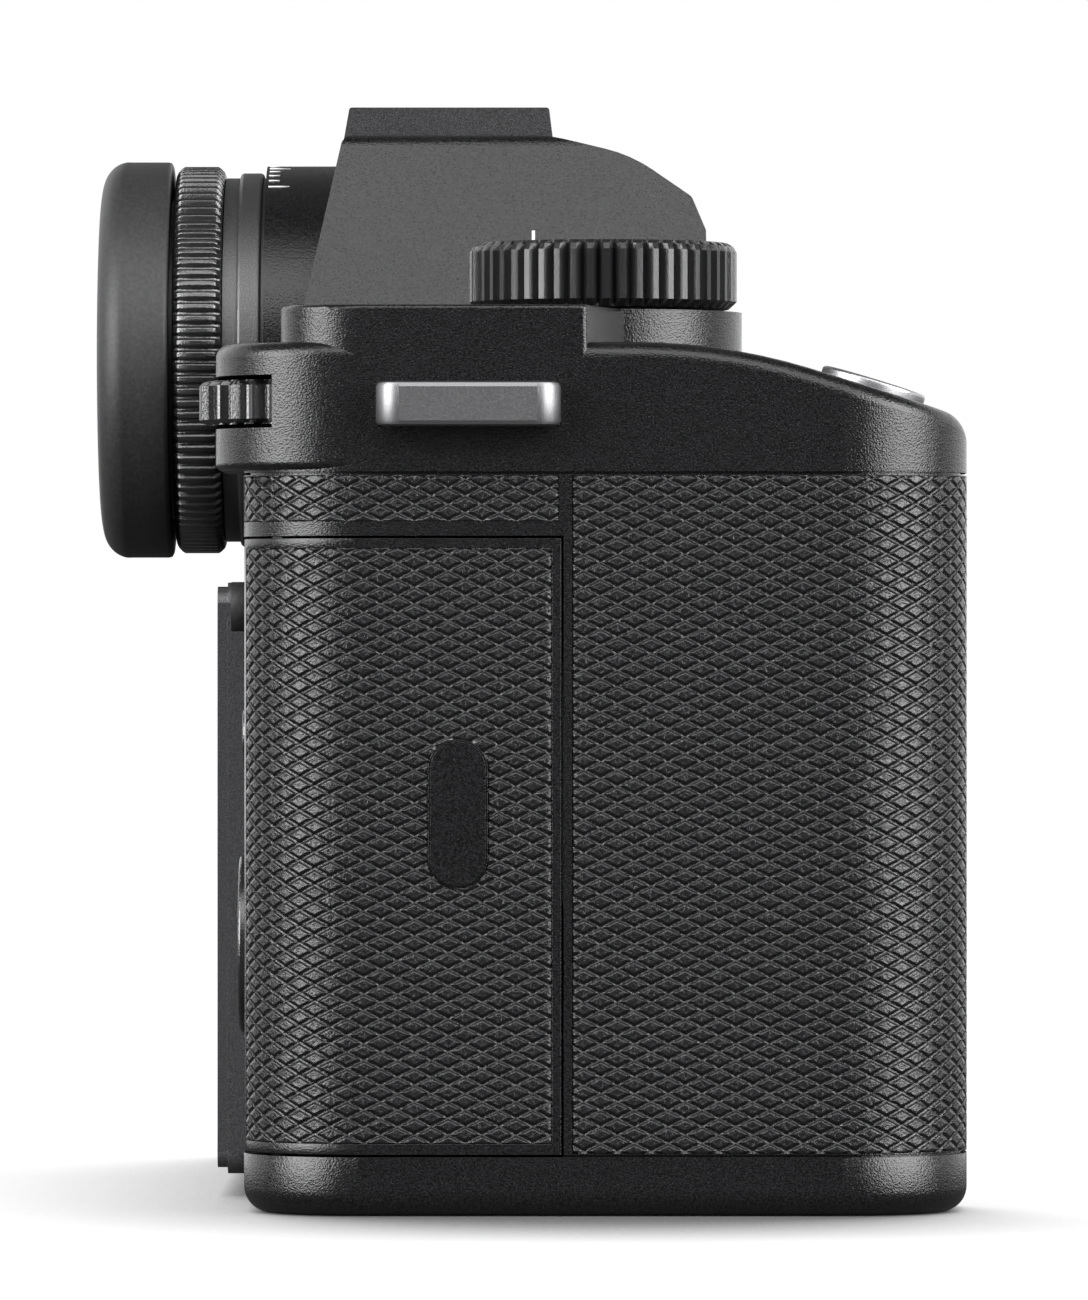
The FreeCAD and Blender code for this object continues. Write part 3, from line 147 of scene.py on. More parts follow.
for node in ("front_shell", "rear_shell", "top_cover"):
    dressed(node, black_paint)
for node in ("base_plate", "card_door", "card_door_pad"):
    dressed(node, black_paint, 0.12)
grey_paint = grained(
    "dark grey paint", (0.018, 0.018, 0.019), (0.050, 0.050, 0.053), 6500.0, 0.6, rough=0.38
)
dressed("display_housing", grey_paint, 0.1)
# The shoe has the body's black paint in a lighter tone, which is painted light.
shoe_paint_with_painted_light = grained(
    "black shoe paint", (0.007, 0.007, 0.0075), (0.024, 0.024, 0.026), 6500.0, 0.6, rough=0.38
)
dressed("hot_shoe", shoe_paint_with_painted_light, 0.1)


# Leather: five panels of black embossed leather, glued into shallow beds in the
# shells and on the card door. Their rows of flat diamonds have crumpled tops and are
# parted by narrow pressed grooves, whose near-black colour is painted shade.

diamond_w = 3.18
diamond_h = 1.56
groove_half = 0.085
groove_deep = 0.17
crown_slope = 0.05
fold_high = 0.035
fold_size = 0.8
fold_seed = 4
edge_sunk = 0.10
skin = 0.65
base_top = 5.6
shell_top = 70.1
leather_low = base_top + 0.35
leather_high = shell_top - 0.35

plan = [
    (-20.0, 23.5, 0.0),
    (-72.0, 23.5, 11.0),
    (-72.0, -45.2, 12.0),
    (-47.0, -45.2, 8.0),
    (-41.0, -21.0, 5.0),
    (61.0, -21.0, 9.0),
    (61.0, 20.0, 0.0),
]


line_step = 0.05


def body_line(corners):
    """Points along straight runs joined by tangent arcs, and each point's length along it.

    A corner's arc has radius r and starts r / tan(half the corner's angle) before it.
    """
    ends = [np.array(corners[0][:2])]
    run = []
    for before, at, after in zip(corners[:-2], corners[1:-1], corners[2:]):
        here = np.array(at[:2])
        back = np.array(before[:2]) - here
        ahead = np.array(after[:2]) - here
        back = back / np.linalg.norm(back)
        ahead = ahead / np.linalg.norm(ahead)
        half = math.acos(float(back @ ahead)) / 2.0
        reach = at[2] / math.tan(half)
        middle = here + (back + ahead) / np.linalg.norm(back + ahead) * at[2] / math.sin(half)
        start = here + back * reach
        stop = here + ahead * reach
        straight = np.linalg.norm(start - ends[-1])
        run.append(np.linspace(ends[-1], start, max(2, int(straight / line_step))))
        first = math.atan2(*(start - middle)[::-1])
        last = math.atan2(*(stop - middle)[::-1])
        turn = (last - first + math.pi) % (2 * math.pi) - math.pi
        angles = first + turn * np.linspace(0.0, 1.0, max(8, int(abs(turn) * at[2] / line_step)))
        run.append(middle + at[2] * np.stack([np.cos(angles), np.sin(angles)], 1))
        ends.append(stop)
    run.append(np.linspace(ends[-1], np.array(corners[-1][:2]), 400))
    points = np.concatenate(run)
    step = np.linalg.norm(np.diff(points, axis=0), axis=1)
    fresh = np.concatenate([[True], step > 1e-6])
    points = points[fresh]
    length = np.concatenate([[0.0], np.cumsum(np.linalg.norm(np.diff(points, axis=0), axis=1))])
    return points, length


line_points, line_length = body_line(plan)
line_along = np.gradient(line_points, line_length, axis=0)
line_along = line_along / np.linalg.norm(line_along, axis=1)[:, None]
line_out = np.stack([line_along[:, 1], -line_along[:, 0]], 1)


def on_body(s, z, inward):
    """Points on the body's side: place s along its line, height z, and a depth inwards."""
    x = np.interp(s, line_length, line_points[:, 0])
    y = np.interp(s, line_length, line_points[:, 1])
    nx = np.interp(s, line_length, line_out[:, 0])
    ny = np.interp(s, line_length, line_out[:, 1])
    return np.stack([x + nx * inward, y + ny * inward, z], 1)


def line_place(x, y):
    """How far along the body's line the point nearest to (x, y) lies."""
    return float(line_length[np.argmin(np.hypot(line_points[:, 0] - x, line_points[:, 1] - y))])


def crumple(s, z, size, seed):
    """Smooth uneven height between -1 and 1: a sum of turned sine waves near one size."""
    made = np.random.default_rng(seed)
    total = np.zeros_like(s)
    for turn, phase, scale in zip(
        made.uniform(0, math.pi, 9), made.uniform(0, 6.28, 9), made.uniform(0.6, 1.7, 9)
    ):
        wave = (s * math.cos(turn) + z * math.sin(turn)) * 2 * math.pi / (size * scale)
        total += np.sin(wave + phase + 1.3 * np.sin(wave * 0.37 + 2 * phase))
    return total / 5.0


def new_piece(name, points, faces, material, smooth=True):
    """An object from arrays of points in millimetres and of faces."""
    mesh = bpy.data.meshes.new(name)
    mesh.from_pydata((points * MM).tolist(), [], faces.tolist())
    mesh.polygons.foreach_set("use_smooth", np.full(len(mesh.polygons), smooth))
    mesh.materials.append(material)
    mesh.update()
    piece = bpy.data.objects.new(name, mesh)
    bpy.context.scene.collection.objects.link(piece)
    return piece


def embossed(name, s0, s1, z0, z1, material, holes=()):
    """Diamond-embossed leather between two places and two heights on the body's line.

    The grid follows the grooves: u = s / w + z / h and v = s / w - z / h, with samples
    on each groove line, just beside it and across the diamond. Points outside the panel
    move to its edge, and points in a hole, given as its place, height, radius and
    half length, move to its rim.
    """
    cuts = np.array([0.0, groove_half, 0.24, 0.5, 0.76, 1.0 - groove_half])
    u_low = math.floor(s0 / diamond_w + z0 / diamond_h) - 1
    u_high = math.ceil(s1 / diamond_w + z1 / diamond_h) + 1
    v_low = math.floor(s0 / diamond_w - z1 / diamond_h) - 1
    v_high = math.ceil(s1 / diamond_w - z0 / diamond_h) + 1
    u = (np.arange(u_low, u_high)[:, None] + cuts).ravel()
    v = (np.arange(v_low, v_high)[:, None] + cuts).ravel()
    uu, vv = np.meshgrid(u, v, indexing="ij")
    s = (uu + vv) * diamond_w / 2
    z = (uu - vv) * diamond_h / 2
    inside = (s > s0) & (s < s1) & (z > z0) & (z < z1)
    fu = np.abs(uu - np.round(uu))
    fv = np.abs(vv - np.round(vv))
    groove = np.minimum(fu, fv)
    high = np.clip(groove / groove_half, 0, 1)
    relief = -groove_deep * (1 - high) - crown_slope * np.clip(groove - groove_half, 0, 0.4)
    relief += fold_high * crumple(s, z, fold_size, fold_seed) * (groove > 0.1)
    index = np.arange(s.size).reshape(s.shape)
    quads = np.stack([index[:-1, :-1], index[:-1, 1:], index[1:, 1:], index[1:, :-1]], -1)
    quads = quads.reshape(-1, 4)
    s = np.clip(s, s0, s1).ravel()
    z = np.clip(z, z0, z1).ravel()
    inside = inside.ravel()
    for hole_s, hole_z, hole_r, hole_half in holes:
        away_s = s - hole_s
        away_z = z - hole_z
        away_z = away_z - np.clip(away_z, -hole_half, hole_half)
        far = np.hypot(away_s, away_z)
        under = far < hole_r
        push = np.where(under, hole_r / np.maximum(far, 1e-6), 1.0)
        s = s + away_s * (push - 1)
        z = z + away_z * (push - 1)
        inside &= ~under
    s = np.clip(s, s0, s1)
    z = np.clip(z, z0, z1)
    quads = quads[inside[quads].any(1)]
    edge = ~inside
    relief = np.where(edge, -edge_sunk, relief.ravel())
    used, flat = np.unique(quads, return_inverse=True)
    quads = flat.reshape(-1, 4)
    s, z, relief = s[used], z[used], relief[used]
    grid = np.stack([s / diamond_w + z / diamond_h, s / diamond_w - z / diamond_h], 1)
    sides = np.concatenate([quads[:, [k, (k + 1) % 4]] for k in range(4)])
    key = np.sort(sides, 1)
    _, where, count = np.unique(key, axis=0, return_index=True, return_counts=True)
    rim = sides[where[count == 1]]
    top = on_body(s, z, relief)
    under = on_body(s, z, np.full(s.shape, -skin))
    total = len(s)
    walls = np.stack([rim[:, 1], rim[:, 0], rim[:, 0] + total, rim[:, 1] + total], 1)
    piece = new_piece(name, np.concatenate([top, under]), np.concatenate([quads, walls]), material)
    corner = np.empty(len(piece.data.loops), np.int32)
    piece.data.loops.foreach_get("vertex_index", corner)
    layer = piece.data.uv_layers.new(name="diamond grid")
    layer.data.foreach_set("uv", np.concatenate([grid, grid])[corner].astype(np.float32).ravel())
    return piece


def leather():
    """Black leather: groove distance from the diamond grid, and fine wrinkles, as bumps.

    The grid's two coordinates are whole numbers on the grooves, so the distance to the
    nearer groove is the smaller of their two ping-pongs over 0.5. The colour is near
    black in the grooves, which is painted shade, lighter in a band beside them, and dark
    across the diamonds.
    """
    material = bpy.data.materials.new("embossed leather")
    material.use_nodes = True
    nodes = material.node_tree.nodes
    links = material.node_tree.links
    shader = nodes["Principled BSDF"]
    place = nodes.new("ShaderNodeTexCoord")
    wrinkle = nodes.new("ShaderNodeTexNoise")
    wrinkle.inputs["Scale"].default_value = 2300.0
    wrinkle.inputs["Detail"].default_value = 3.0
    wrinkle.inputs["Roughness"].default_value = 0.6
    wrinkle.inputs["Distortion"].default_value = 0.8
    links.new(place.outputs["Object"], wrinkle.inputs["Vector"])
    shaken = nodes.new("ShaderNodeVectorMath")
    shaken.operation = "MULTIPLY_ADD"
    shaken.inputs[1].default_value = (0.06, 0.06, 0.0)
    links.new(wrinkle.outputs["Color"], shaken.inputs[0])
    links.new(place.outputs["UV"], shaken.inputs[2])
    centred = nodes.new("ShaderNodeVectorMath")
    centred.operation = "SUBTRACT"
    centred.inputs[1].default_value = (0.03, 0.03, 0.0)
    links.new(shaken.outputs[0], centred.inputs[0])
    split = nodes.new("ShaderNodeSeparateXYZ")
    links.new(centred.outputs[0], split.inputs[0])
    nearest = nodes.new("ShaderNodeMath")
    nearest.operation = "MINIMUM"
    for side in (0, 1):
        fold = nodes.new("ShaderNodeMath")
        fold.operation = "PINGPONG"
        fold.inputs[1].default_value = 0.5
        links.new(split.outputs[side], fold.inputs[0])
        links.new(fold.outputs[0], nearest.inputs[side])
    # Colour by groove distance: near black in the grooves as painted shade, lighter in a band just
    # beside them, and dark across the diamonds.
    tone = nodes.new("ShaderNodeValToRGB")
    ramp = tone.color_ramp.elements
    ramp[0].position = 0.03
    ramp[0].color = (0.0003, 0.0003, 0.0003, 1)
    ramp[1].position = 0.5
    ramp[1].color = (0.0022, 0.0022, 0.0025, 1)
    lip = ramp.new(0.16)
    lip.color = (0.008, 0.008, 0.009, 1)
    links.new(nearest.outputs[0], tone.inputs["Fac"])
    links.new(tone.outputs["Color"], shader.inputs["Base Color"])
    rough = nodes.new("ShaderNodeMapRange")
    rough.inputs["To Min"].default_value = 0.2
    rough.inputs["To Max"].default_value = 0.36
    links.new(wrinkle.outputs["Fac"], rough.inputs["Value"])
    links.new(rough.outputs["Result"], shader.inputs["Roughness"])
    pillow = nodes.new("ShaderNodeMapRange")
    pillow.interpolation_type = "SMOOTHSTEP"
    pillow.inputs["From Min"].default_value = 0.05
    pillow.inputs["From Max"].default_value = 0.27
    links.new(nearest.outputs[0], pillow.inputs["Value"])
    both = nodes.new("ShaderNodeMath")
    both.operation = "MULTIPLY_ADD"
    both.inputs[1].default_value = 0.7
    links.new(wrinkle.outputs["Fac"], both.inputs[0])
    links.new(pillow.outputs["Result"], both.inputs[2])
    bump = nodes.new("ShaderNodeBump")
    bump.inputs["Strength"].default_value = 1.0
    bump.inputs["Distance"].default_value = 0.00014
    links.new(both.outputs[0], bump.inputs["Height"])
    links.new(bump.outputs["Normal"], shader.inputs["Normal"])
    return material


black_leather = leather()
door_low = base_top + 0.25
door_high = 63.8
thumb_pad_y = 3.1
thumb_pad_z = 37.9

mount_hole = (line_place(0.0, -21.0), 41.0, 34.4, 0.0)
panels = [
    ("grip_leather", "camera_body", line_place(-72.0, -7.65), line_place(-12.0, -21.0),
     leather_low, leather_high, [mount_hole, (line_place(-36.6, -21.0), 18.5, 3.0, 0.0)]),
    ("side_strip_leather", "camera_body", line_place(-62.2, 23.5), line_place(-72.0, -6.4),
     door_high + 1.6, leather_high, []),
    ("card_door_leather", "card_door_body", line_place(-63.4, 23.5), line_place(-72.0, -5.75),
     door_low + 1.0, door_high - 0.9, [(line_place(-72.0, thumb_pad_y), thumb_pad_z, 2.8, 4.2)]),
    ("thumb_leather", "camera_body", line_place(-44.5, 23.5), line_place(-57.0, 23.5), 40.0,
     leather_high - 4.0, []),
    ("front_leather", "camera_body", line_place(12.0, -21.0), line_place(51.5, -21.0),
     leather_low, leather_high, [mount_hole, (line_place(42.0, -21.0), 28.0, 7.8, 0.0)]),
]
for name, body, s0, s1, z0, z1, holes in panels:
    piece = embossed(name + "_skin", s0, s1, z0, z1, black_leather, holes)
    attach(piece, body)
    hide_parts(name)


# Eyepiece: a black anodised barrel with a painted dioptre scale, a finely toothed
# ring that turns on it, and a round cup of soft matte rubber pushed over its sleeve.

black_metal = grained(
    "black anodised metal", (0.003, 0.003, 0.0033), (0.012, 0.012, 0.013), 6000.0, 0.6,
    rough=0.25, specular=0.95,
)
# The barrel has the black anodised metal in a lighter tone, which is painted light.
barrel_metal_with_painted_light = grained(
    "black barrel finish", (0.004, 0.004, 0.0044), (0.022, 0.022, 0.024), 6000.0, 0.8,
    rough=0.45, specular=1.0,
)
dressed("eyepiece_barrel", barrel_metal_with_painted_light)
eye_z = 82.5
sleeve_r = 16.0
barrel_r = 19.55


def turned(name, profile, material, teeth=None, around=256):
    """A profile of (radius, y) turned about the viewfinder's axis.

    teeth, if given, is a function of angle and profile place that is added to the radius.
    """
    profile = np.array(profile, float)
    count = len(profile)
    angle = np.linspace(0, 2 * math.pi, around, endpoint=False)
    r = np.repeat(profile[None, :, 0], around, 0)
    y = np.repeat(profile[None, :, 1], around, 0)
    a = np.repeat(angle[:, None], count, 1)
    if teeth is not None:
        r = r + teeth(a, np.repeat(np.arange(count)[None, :], around, 0))
    points = np.stack([r * np.sin(a), y, eye_z + r * np.cos(a)], -1).reshape(-1, 3)
    i, k = np.meshgrid(np.arange(around), np.arange(count), indexing="ij")
    j = (i + 1) % around
    m = (k + 1) % count
    faces = np.stack([i * count + k, j * count + k, j * count + m, i * count + m], -1)
    return new_piece(name, points, faces.reshape(-1, 4), material)


def curve_through(points, steps):
    """A smooth closed-ended line through points: each span is a Catmull-Rom cubic."""
    p = np.array(points, float)
    p = np.concatenate([2 * p[:1] - p[1:2], p, 2 * p[-1:] - p[-2:-1]])
    t = np.linspace(0, 1, steps, endpoint=False)[:, None]
    a, b, c, d = p[:-3, None], p[1:-2, None], p[2:-1, None], p[3:, None]
    line = 0.5 * (2 * b + (c - a) * t + (2 * a - 5 * b + 4 * c - d) * t**2
                  + (3 * b - a - 3 * c + d) * t**3)
    return np.concatenate([line.reshape(-1, 2), p[-2:-1]])


rubber = grained(
    "matte rubber", (0.008, 0.008, 0.0085), (0.018, 0.018, 0.019), 2600.0, 0.35, rough=0.55
)
dome = curve_through(
    [(19.9, 36.2), (19.86, 37.2), (19.35, 38.2), (18.4, 38.95), (17.2, 39.3), (16.2, 39.3),
     (15.0, 38.65), (13.8, 37.35), (12.95, 35.95), (12.6, 34.95)], 5,
)
cup_profile = [(sleeve_r, 32.3), (19.55, 32.3), (19.82, 32.45), (19.9, 32.75), (19.9, 35.0)]
cup_profile += [tuple(p) for p in dome] + [(12.75, 34.85), (sleeve_r, 34.85)]
cup = turned("eyecup_rubber", cup_profile, rubber)
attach(cup, "camera_body")
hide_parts("eyecup")

ring_r = 19.45
ring_teeth = 100
ring_profile = [(16.06, 27.02), (18.6, 27.02), (18.95, 27.15), (19.3, 27.5), (ring_r, 27.75),
                (ring_r, 31.1), (19.3, 31.35), (18.95, 31.7), (18.6, 31.88), (16.06, 31.88)]


def ring_tooth(angle, place):
    """Square teeth with soft shoulders, deepest on the rim and none at the edges."""
    wave = np.cos(angle * ring_teeth)
    cut = 1.0 / (1.0 + np.exp((wave + 0.25) * 9.0))
    share = np.array([0, 0.1, 0.6, 1, 1, 1, 1, 0.6, 0.1, 0])[place]
    return -0.5 * cut * share


ring = turned("dioptre_ring_toothed", ring_profile, black_metal, ring_tooth, ring_teeth * 12)
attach(ring, "dioptre_ring_body")
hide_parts("dioptre_ring")

white_paint = grained("white paint", (0.62, 0.62, 0.62), (0.72, 0.72, 0.72), 4000.0, 0.1)
mark_angles = [61.0 + 4.3 * i for i in range(14)]
mark_end = 22.5
mark_long = 2.1
mark_short = 1.1
mark_half = 0.11


def scale_mark(angle, length):
    """A thin painted bar on the barrel: four points across it at each of its two ends."""
    a = math.radians(angle) + np.linspace(-mark_half, mark_half, 4) / barrel_r
    across = [-barrel_r * np.cos(a), eye_z + barrel_r * np.sin(a)]
    ends = (mark_end - length, mark_end)
    return np.concatenate([np.stack([across[0], np.full(4, y), across[1]], 1) for y in ends])


marks = np.concatenate([
    scale_mark(a, mark_short if i % 4 else mark_long) for i, a in enumerate(mark_angles)
])
bars = []
for i in range(len(mark_angles)):
    for k in range(3):
        first = i * 8 + k
        bars.append([first, first + 1, first + 5, first + 4])
scale = new_piece("dioptre_scale", marks, np.array(bars), white_paint)
coat = scale.modifiers.new("coat", "SOLIDIFY")
coat.thickness = 0.06 * MM
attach(scale, "camera_body")


# Dials and thumb wheel: turned aluminium, black anodised, with milled grips. The
# right dial has 50 V flutes and the mode dial 42, and the wheel has 29 wide scallops
# between narrow ribs. The dials' tops carry painted ticks.

dial_metal = grained(
    "black dial metal", (0.002, 0.002, 0.0022), (0.009, 0.009, 0.010), 7000.0, 0.5,
    rough=0.3, specular=0.5,
)


def milled(name, centre, profile, count, depth, rib, material, share):
    """A profile of (radius, z) turned about an upright axis, with a grip cut in its rim.

    The radius is the profile's less depth * (1 - rib) * share. rib is one tooth's outline
    at equal angles, 1 on its land and 0 in the groove, and share is how much of the cut
    each point of the profile gets.
    """
    profile = np.array(profile, float)
    rows = len(profile)
    around = count * len(rib)
    angle = np.linspace(0, 2 * math.pi, around, endpoint=False)
    groove = depth * (1 - np.tile(rib, count))
    r = np.maximum(profile[None, :, 0] - groove[:, None] * np.array(share, float)[None, :], 0.02)
    a = angle[:, None]
    x = centre[0] + r * np.cos(a)
    y = centre[1] + r * np.sin(a)
    z = np.repeat(profile[None, :, 1], around, 0)
    points = np.stack([x, y, z], -1).reshape(-1, 3)
    i, k = np.meshgrid(np.arange(around), np.arange(rows - 1), indexing="ij")
    j = (i + 1) % around
    faces = np.stack([i * rows + k, j * rows + k, j * rows + k + 1, i * rows + k + 1], -1)
    return new_piece(name, points, faces.reshape(-1, 4), material, smooth=False)


def knob_profile(r, z0, z1, top_r):
    """The outline of a dial: underside, chamfered rim and a shallow dished top."""
    return [
        (0.02, z0), (r - 1.0, z0), (r - 0.75, z0 + 0.05), (r, z0 + 0.75), (r, z1 - 0.9),
        (r - 0.3, z1 - 0.35), (r - 0.85, z1), (top_r + 0.3, z1), (top_r, z1 - 0.25),
        (top_r - 3.0, z1 - 0.3), (0.02, z1 - 0.3),
    ]


knob_share = [0, 0, 0.4, 1, 1, 0.7, 0.05, 0, 0, 0, 0]
v_rib = [1.0, 1.0, 1.0, 0.5, 0.0, 0.5]
right_dial_centre = (-45.0, -10.7)
dial = milled("right_dial_milled", right_dial_centre, knob_profile(12.9, 86.1, 92.5, 10.9),
              50, 0.9, v_rib, dial_metal, knob_share)
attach(dial, "right_dial_body")
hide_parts("right_dial")

mode_dial_centre = (44.0, 2.0)
left = milled("mode_dial_milled", mode_dial_centre, knob_profile(11.0, 83.8, 90.8, 9.2),
              42, 0.8, v_rib, dial_metal, knob_share)
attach(left, "mode_dial_body")
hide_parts("mode_dial")


tick_wide = 0.3
tick_thick = 0.1


def ticks(name, centre, z, r0, r1, angles, body):
    """Painted bars on a dial's top: thin boxes from radius r0 to r1, one at each angle."""
    half = tick_wide / 2
    a = np.radians(np.array(angles, float))
    along = np.stack([np.cos(a), np.sin(a), 0 * a], 1)
    across = np.stack([-np.sin(a), np.cos(a), 0 * a], 1)
    corners = []
    for high in (z - tick_thick, z):
        for r, w in ((r0, -half), (r1, -half), (r1, half), (r0, half)):
            corners.append(np.array([*centre, high]) + along * r + across * w)
    box = np.array([[0, 3, 2, 1], [4, 5, 6, 7], [0, 1, 5, 4],
                    [1, 2, 6, 5], [2, 3, 7, 6], [3, 0, 4, 7]])
    faces = (box[None] + 8 * np.arange(len(a))[:, None, None]).reshape(-1, 4)
    bars = new_piece(name, np.stack(corners, 1).reshape(-1, 3), faces, white_paint, smooth=False)
    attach(bars, body)


ticks("right_dial_ticks", right_dial_centre, 92.29, 8.4, 10.0, range(0, 360, 15),
      "right_dial_body")
ticks("mode_dial_ticks", mode_dial_centre, 90.58, 6.6, 8.4, range(0, 360, 36), "mode_dial_body")

wheel_centre = (-59.65, 17.3)
wheel_z0 = 74.65
wheel_z1 = 78.85
wheel_r = 10.5
wheel_bore_r = 1.6
wheel_profile = [
    (wheel_bore_r, wheel_z0), (9.6, wheel_z0), (10.15, wheel_z0 + 0.15), (wheel_r, wheel_z0 + 0.5),
    (wheel_r, wheel_z1 - 0.5), (10.15, wheel_z1 - 0.15), (9.6, wheel_z1), (wheel_bore_r, wheel_z1),
    (wheel_bore_r, wheel_z0),
]
scallop = [0.9, 1.0, 0.9, 0.5, 0.2, 0.05, 0.0, 0.05, 0.2, 0.5]
wheel = milled("thumb_wheel_milled", wheel_centre, wheel_profile, 29, 1.0, scallop, black_metal,
               [0, 0.3, 1, 1, 1, 1, 0.3, 0, 0])
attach(wheel, "thumb_wheel_body")
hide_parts("thumb_wheel")


# Bare metal: strap lugs and shutter button of blasted steel, a lens mount ring of
# plated brass, gold-plated contacts, and inner fittings of plain satin steel.


def satin(name, colour, rough, scale=(1.0, 1.0, 30.0)):
    """Bare metal: noise in its roughness and bump, stretched by scale into fine scratches.

    An equal scale on all axes gives the even grain of a blasted or cast face instead.
    """
    material = bpy.data.materials.new(name)
    material.use_nodes = True
    nodes = material.node_tree.nodes
    links = material.node_tree.links
    shader = nodes["Principled BSDF"]
    shader.inputs["Metallic"].default_value = 1.0
    shader.inputs["Base Color"].default_value = (*colour, 1)
    place = nodes.new("ShaderNodeTexCoord")
    stretch = nodes.new("ShaderNodeMapping")
    stretch.inputs["Scale"].default_value = scale
    lines = nodes.new("ShaderNodeTexNoise")
    lines.inputs["Scale"].default_value = 400.0
    lines.inputs["Detail"].default_value = 5.0
    links.new(place.outputs["Object"], stretch.inputs["Vector"])
    links.new(stretch.outputs["Vector"], lines.inputs["Vector"])
    spread = nodes.new("ShaderNodeMapRange")
    spread.inputs["To Min"].default_value = rough - 0.1
    spread.inputs["To Max"].default_value = rough + 0.1
    links.new(lines.outputs["Fac"], spread.inputs["Value"])
    links.new(spread.outputs["Result"], shader.inputs["Roughness"])
    bump = nodes.new("ShaderNodeBump")
    bump.inputs["Strength"].default_value = 0.12
    bump.inputs["Distance"].default_value = 0.00003
    links.new(lines.outputs["Fac"], bump.inputs["Height"])
    links.new(bump.outputs["Normal"], shader.inputs["Normal"])
    return material


steel = satin("satin steel", (0.55, 0.55, 0.56), 0.36)
plated = satin("plated brass", (0.72, 0.72, 0.73), 0.2)
gold = satin("gold plating", (0.83, 0.6, 0.22), 0.25)
for node in ("tripod_socket", "sockets", "card_cage",
             "stabiliser_yoke", "thumb_wheel_axle", "card_door_slide", "lens_lock_pin",
             "mount_springs"):
    dressed(node, steel, 0.1)
lug_metal = satin("blasted steel", (0.17, 0.17, 0.175), 0.42, (12.0, 12.0, 12.0))
dressed("strap_lugs", lug_metal, 0.5)
button_metal = satin("silver button", (0.34, 0.34, 0.35), 0.4, (12.0, 12.0, 12.0))
dressed("shutter_button", button_metal, 0.1)
dressed("mount_ring", plated, 0.15)
dressed("mount_screws", plated)
dressed("lens_contacts", gold, 0.08)
dressed("hot_shoe_contacts", gold, 0.03)


# Black anodised small parts: buttons, screws, the display's hinge arm, the battery
# lever, and the shutter's frame and leaves. The joystick's cap is rubber.

for node in ("power_button", "menu_button", "control_pad", "front_button",
             "lens_release_button", "base_screws", "display_arm",
             "battery_lever", "shutter_frame", "shutter_leaf_1", "shutter_leaf_2"):
    dressed(node, black_metal, 0.1)
dressed("joystick", rubber, 0.2)


# Plastic, castings, glass and board: port doors, battery and its bay are moulded,
# the light box has a matte black lining, the chassis and sensor carriage are cast
# aluminium, the display and lenses are coated glass, and the board is green laminate.

moulded = grained(
    "moulded black plastic", (0.014, 0.014, 0.015), (0.024, 0.024, 0.026), 3000.0, 0.3
)
for node in ("port_door_lower", "port_door_upper", "battery", "battery_bay",
             "contact_block"):
    dressed(node, moulded, 0.12)
flocked = grained(
    "matte black lining", (0.002, 0.002, 0.002), (0.006, 0.006, 0.006), 4000.0, 0.8, rough=0.8,
    specular=0.2,
)
dressed("light_box", flocked, 0.12)
cast = satin("cast aluminium", (0.45, 0.46, 0.48), 0.5, (6.0, 6.0, 6.0))
for node in ("chassis", "sensor_carriage", "stabiliser_slide"):
    dressed(node, cast, 0.1)
laminate = grained("green laminate", (0.01, 0.05, 0.03), (0.014, 0.07, 0.042), 900.0, 0.1)
dressed("main_board", laminate, 0.05)


def coated_glass(name, tint, rough):
    """Dark glass with a hard clear coat and a faint change of tone over its face."""
    material = grained(name, tint, tuple(c * 1.25 for c in tint), 60.0, 0.0)
    shader = material.node_tree.nodes["Principled BSDF"]
    for link in list(shader.inputs["Roughness"].links):
        material.node_tree.links.remove(link)
    shader.inputs["Roughness"].default_value = rough
    shader.inputs["Coat Weight"].default_value = 0.6
    shader.inputs["Coat Roughness"].default_value = 0.03
    return material


screen_glass = coated_glass("display glass", (0.004, 0.004, 0.005), 0.08)
for node in ("display_glass", "viewfinder_display"):
    dressed(node, screen_glass, 0.08)
lens_glass = coated_glass("coated lens glass", (0.008, 0.010, 0.016), 0.05)
for node in ("viewfinder_lenses", "sensor_cover_glass", "image_sensor"):
    dressed(node, lens_glass)


# Painted marks: a small white bar for the sensor's plane, on the hump's side just
# above the right dial, and an index bar behind each dial.


paint_thick = 0.02


def painted(name, corners, aim):
    """White paint on the top cover, where four points land that are thrown along aim."""
    landed = []
    for corner in corners:
        hit = cad["top_cover"].ray_cast(Vector(corner) * MM, Vector(aim))
        landed.append(np.array(hit[1]) / MM + np.array(hit[2]) * paint_thick)
    mark = new_piece(name, np.array(landed), np.array([[0, 3, 2, 1]]), white_paint)
    coat = mark.modifiers.new("coat", "SOLIDIFY")
    coat.thickness = paint_thick * MM
    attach(mark, "camera_body")


painted("sensor_plane_mark", [(-200, -4.1, 93.75), (-200, -3.8, 93.75), (-200, -3.8, 94.7),
                              (-200, -4.1, 94.7)], (1.0, 0.0, 0.0))
for name, x, y in (("right_dial_index", -45.0, 3.3), ("mode_dial_index", 44.0, 14.2)):
    painted(name, [(x - 0.2, y, 200), (x - 0.2, y + 1.4, 200), (x + 0.2, y + 1.4, 200),
                   (x + 0.2, y, 200)], (0.0, 0.0, -1.0))


# Floor, light and camera: a pale floor that runs into a white surround, one soft lamp
# above the camera, two beside it and two wide ones on the far side, and a camera at
# half the body's height, 1 m from the grip's side.


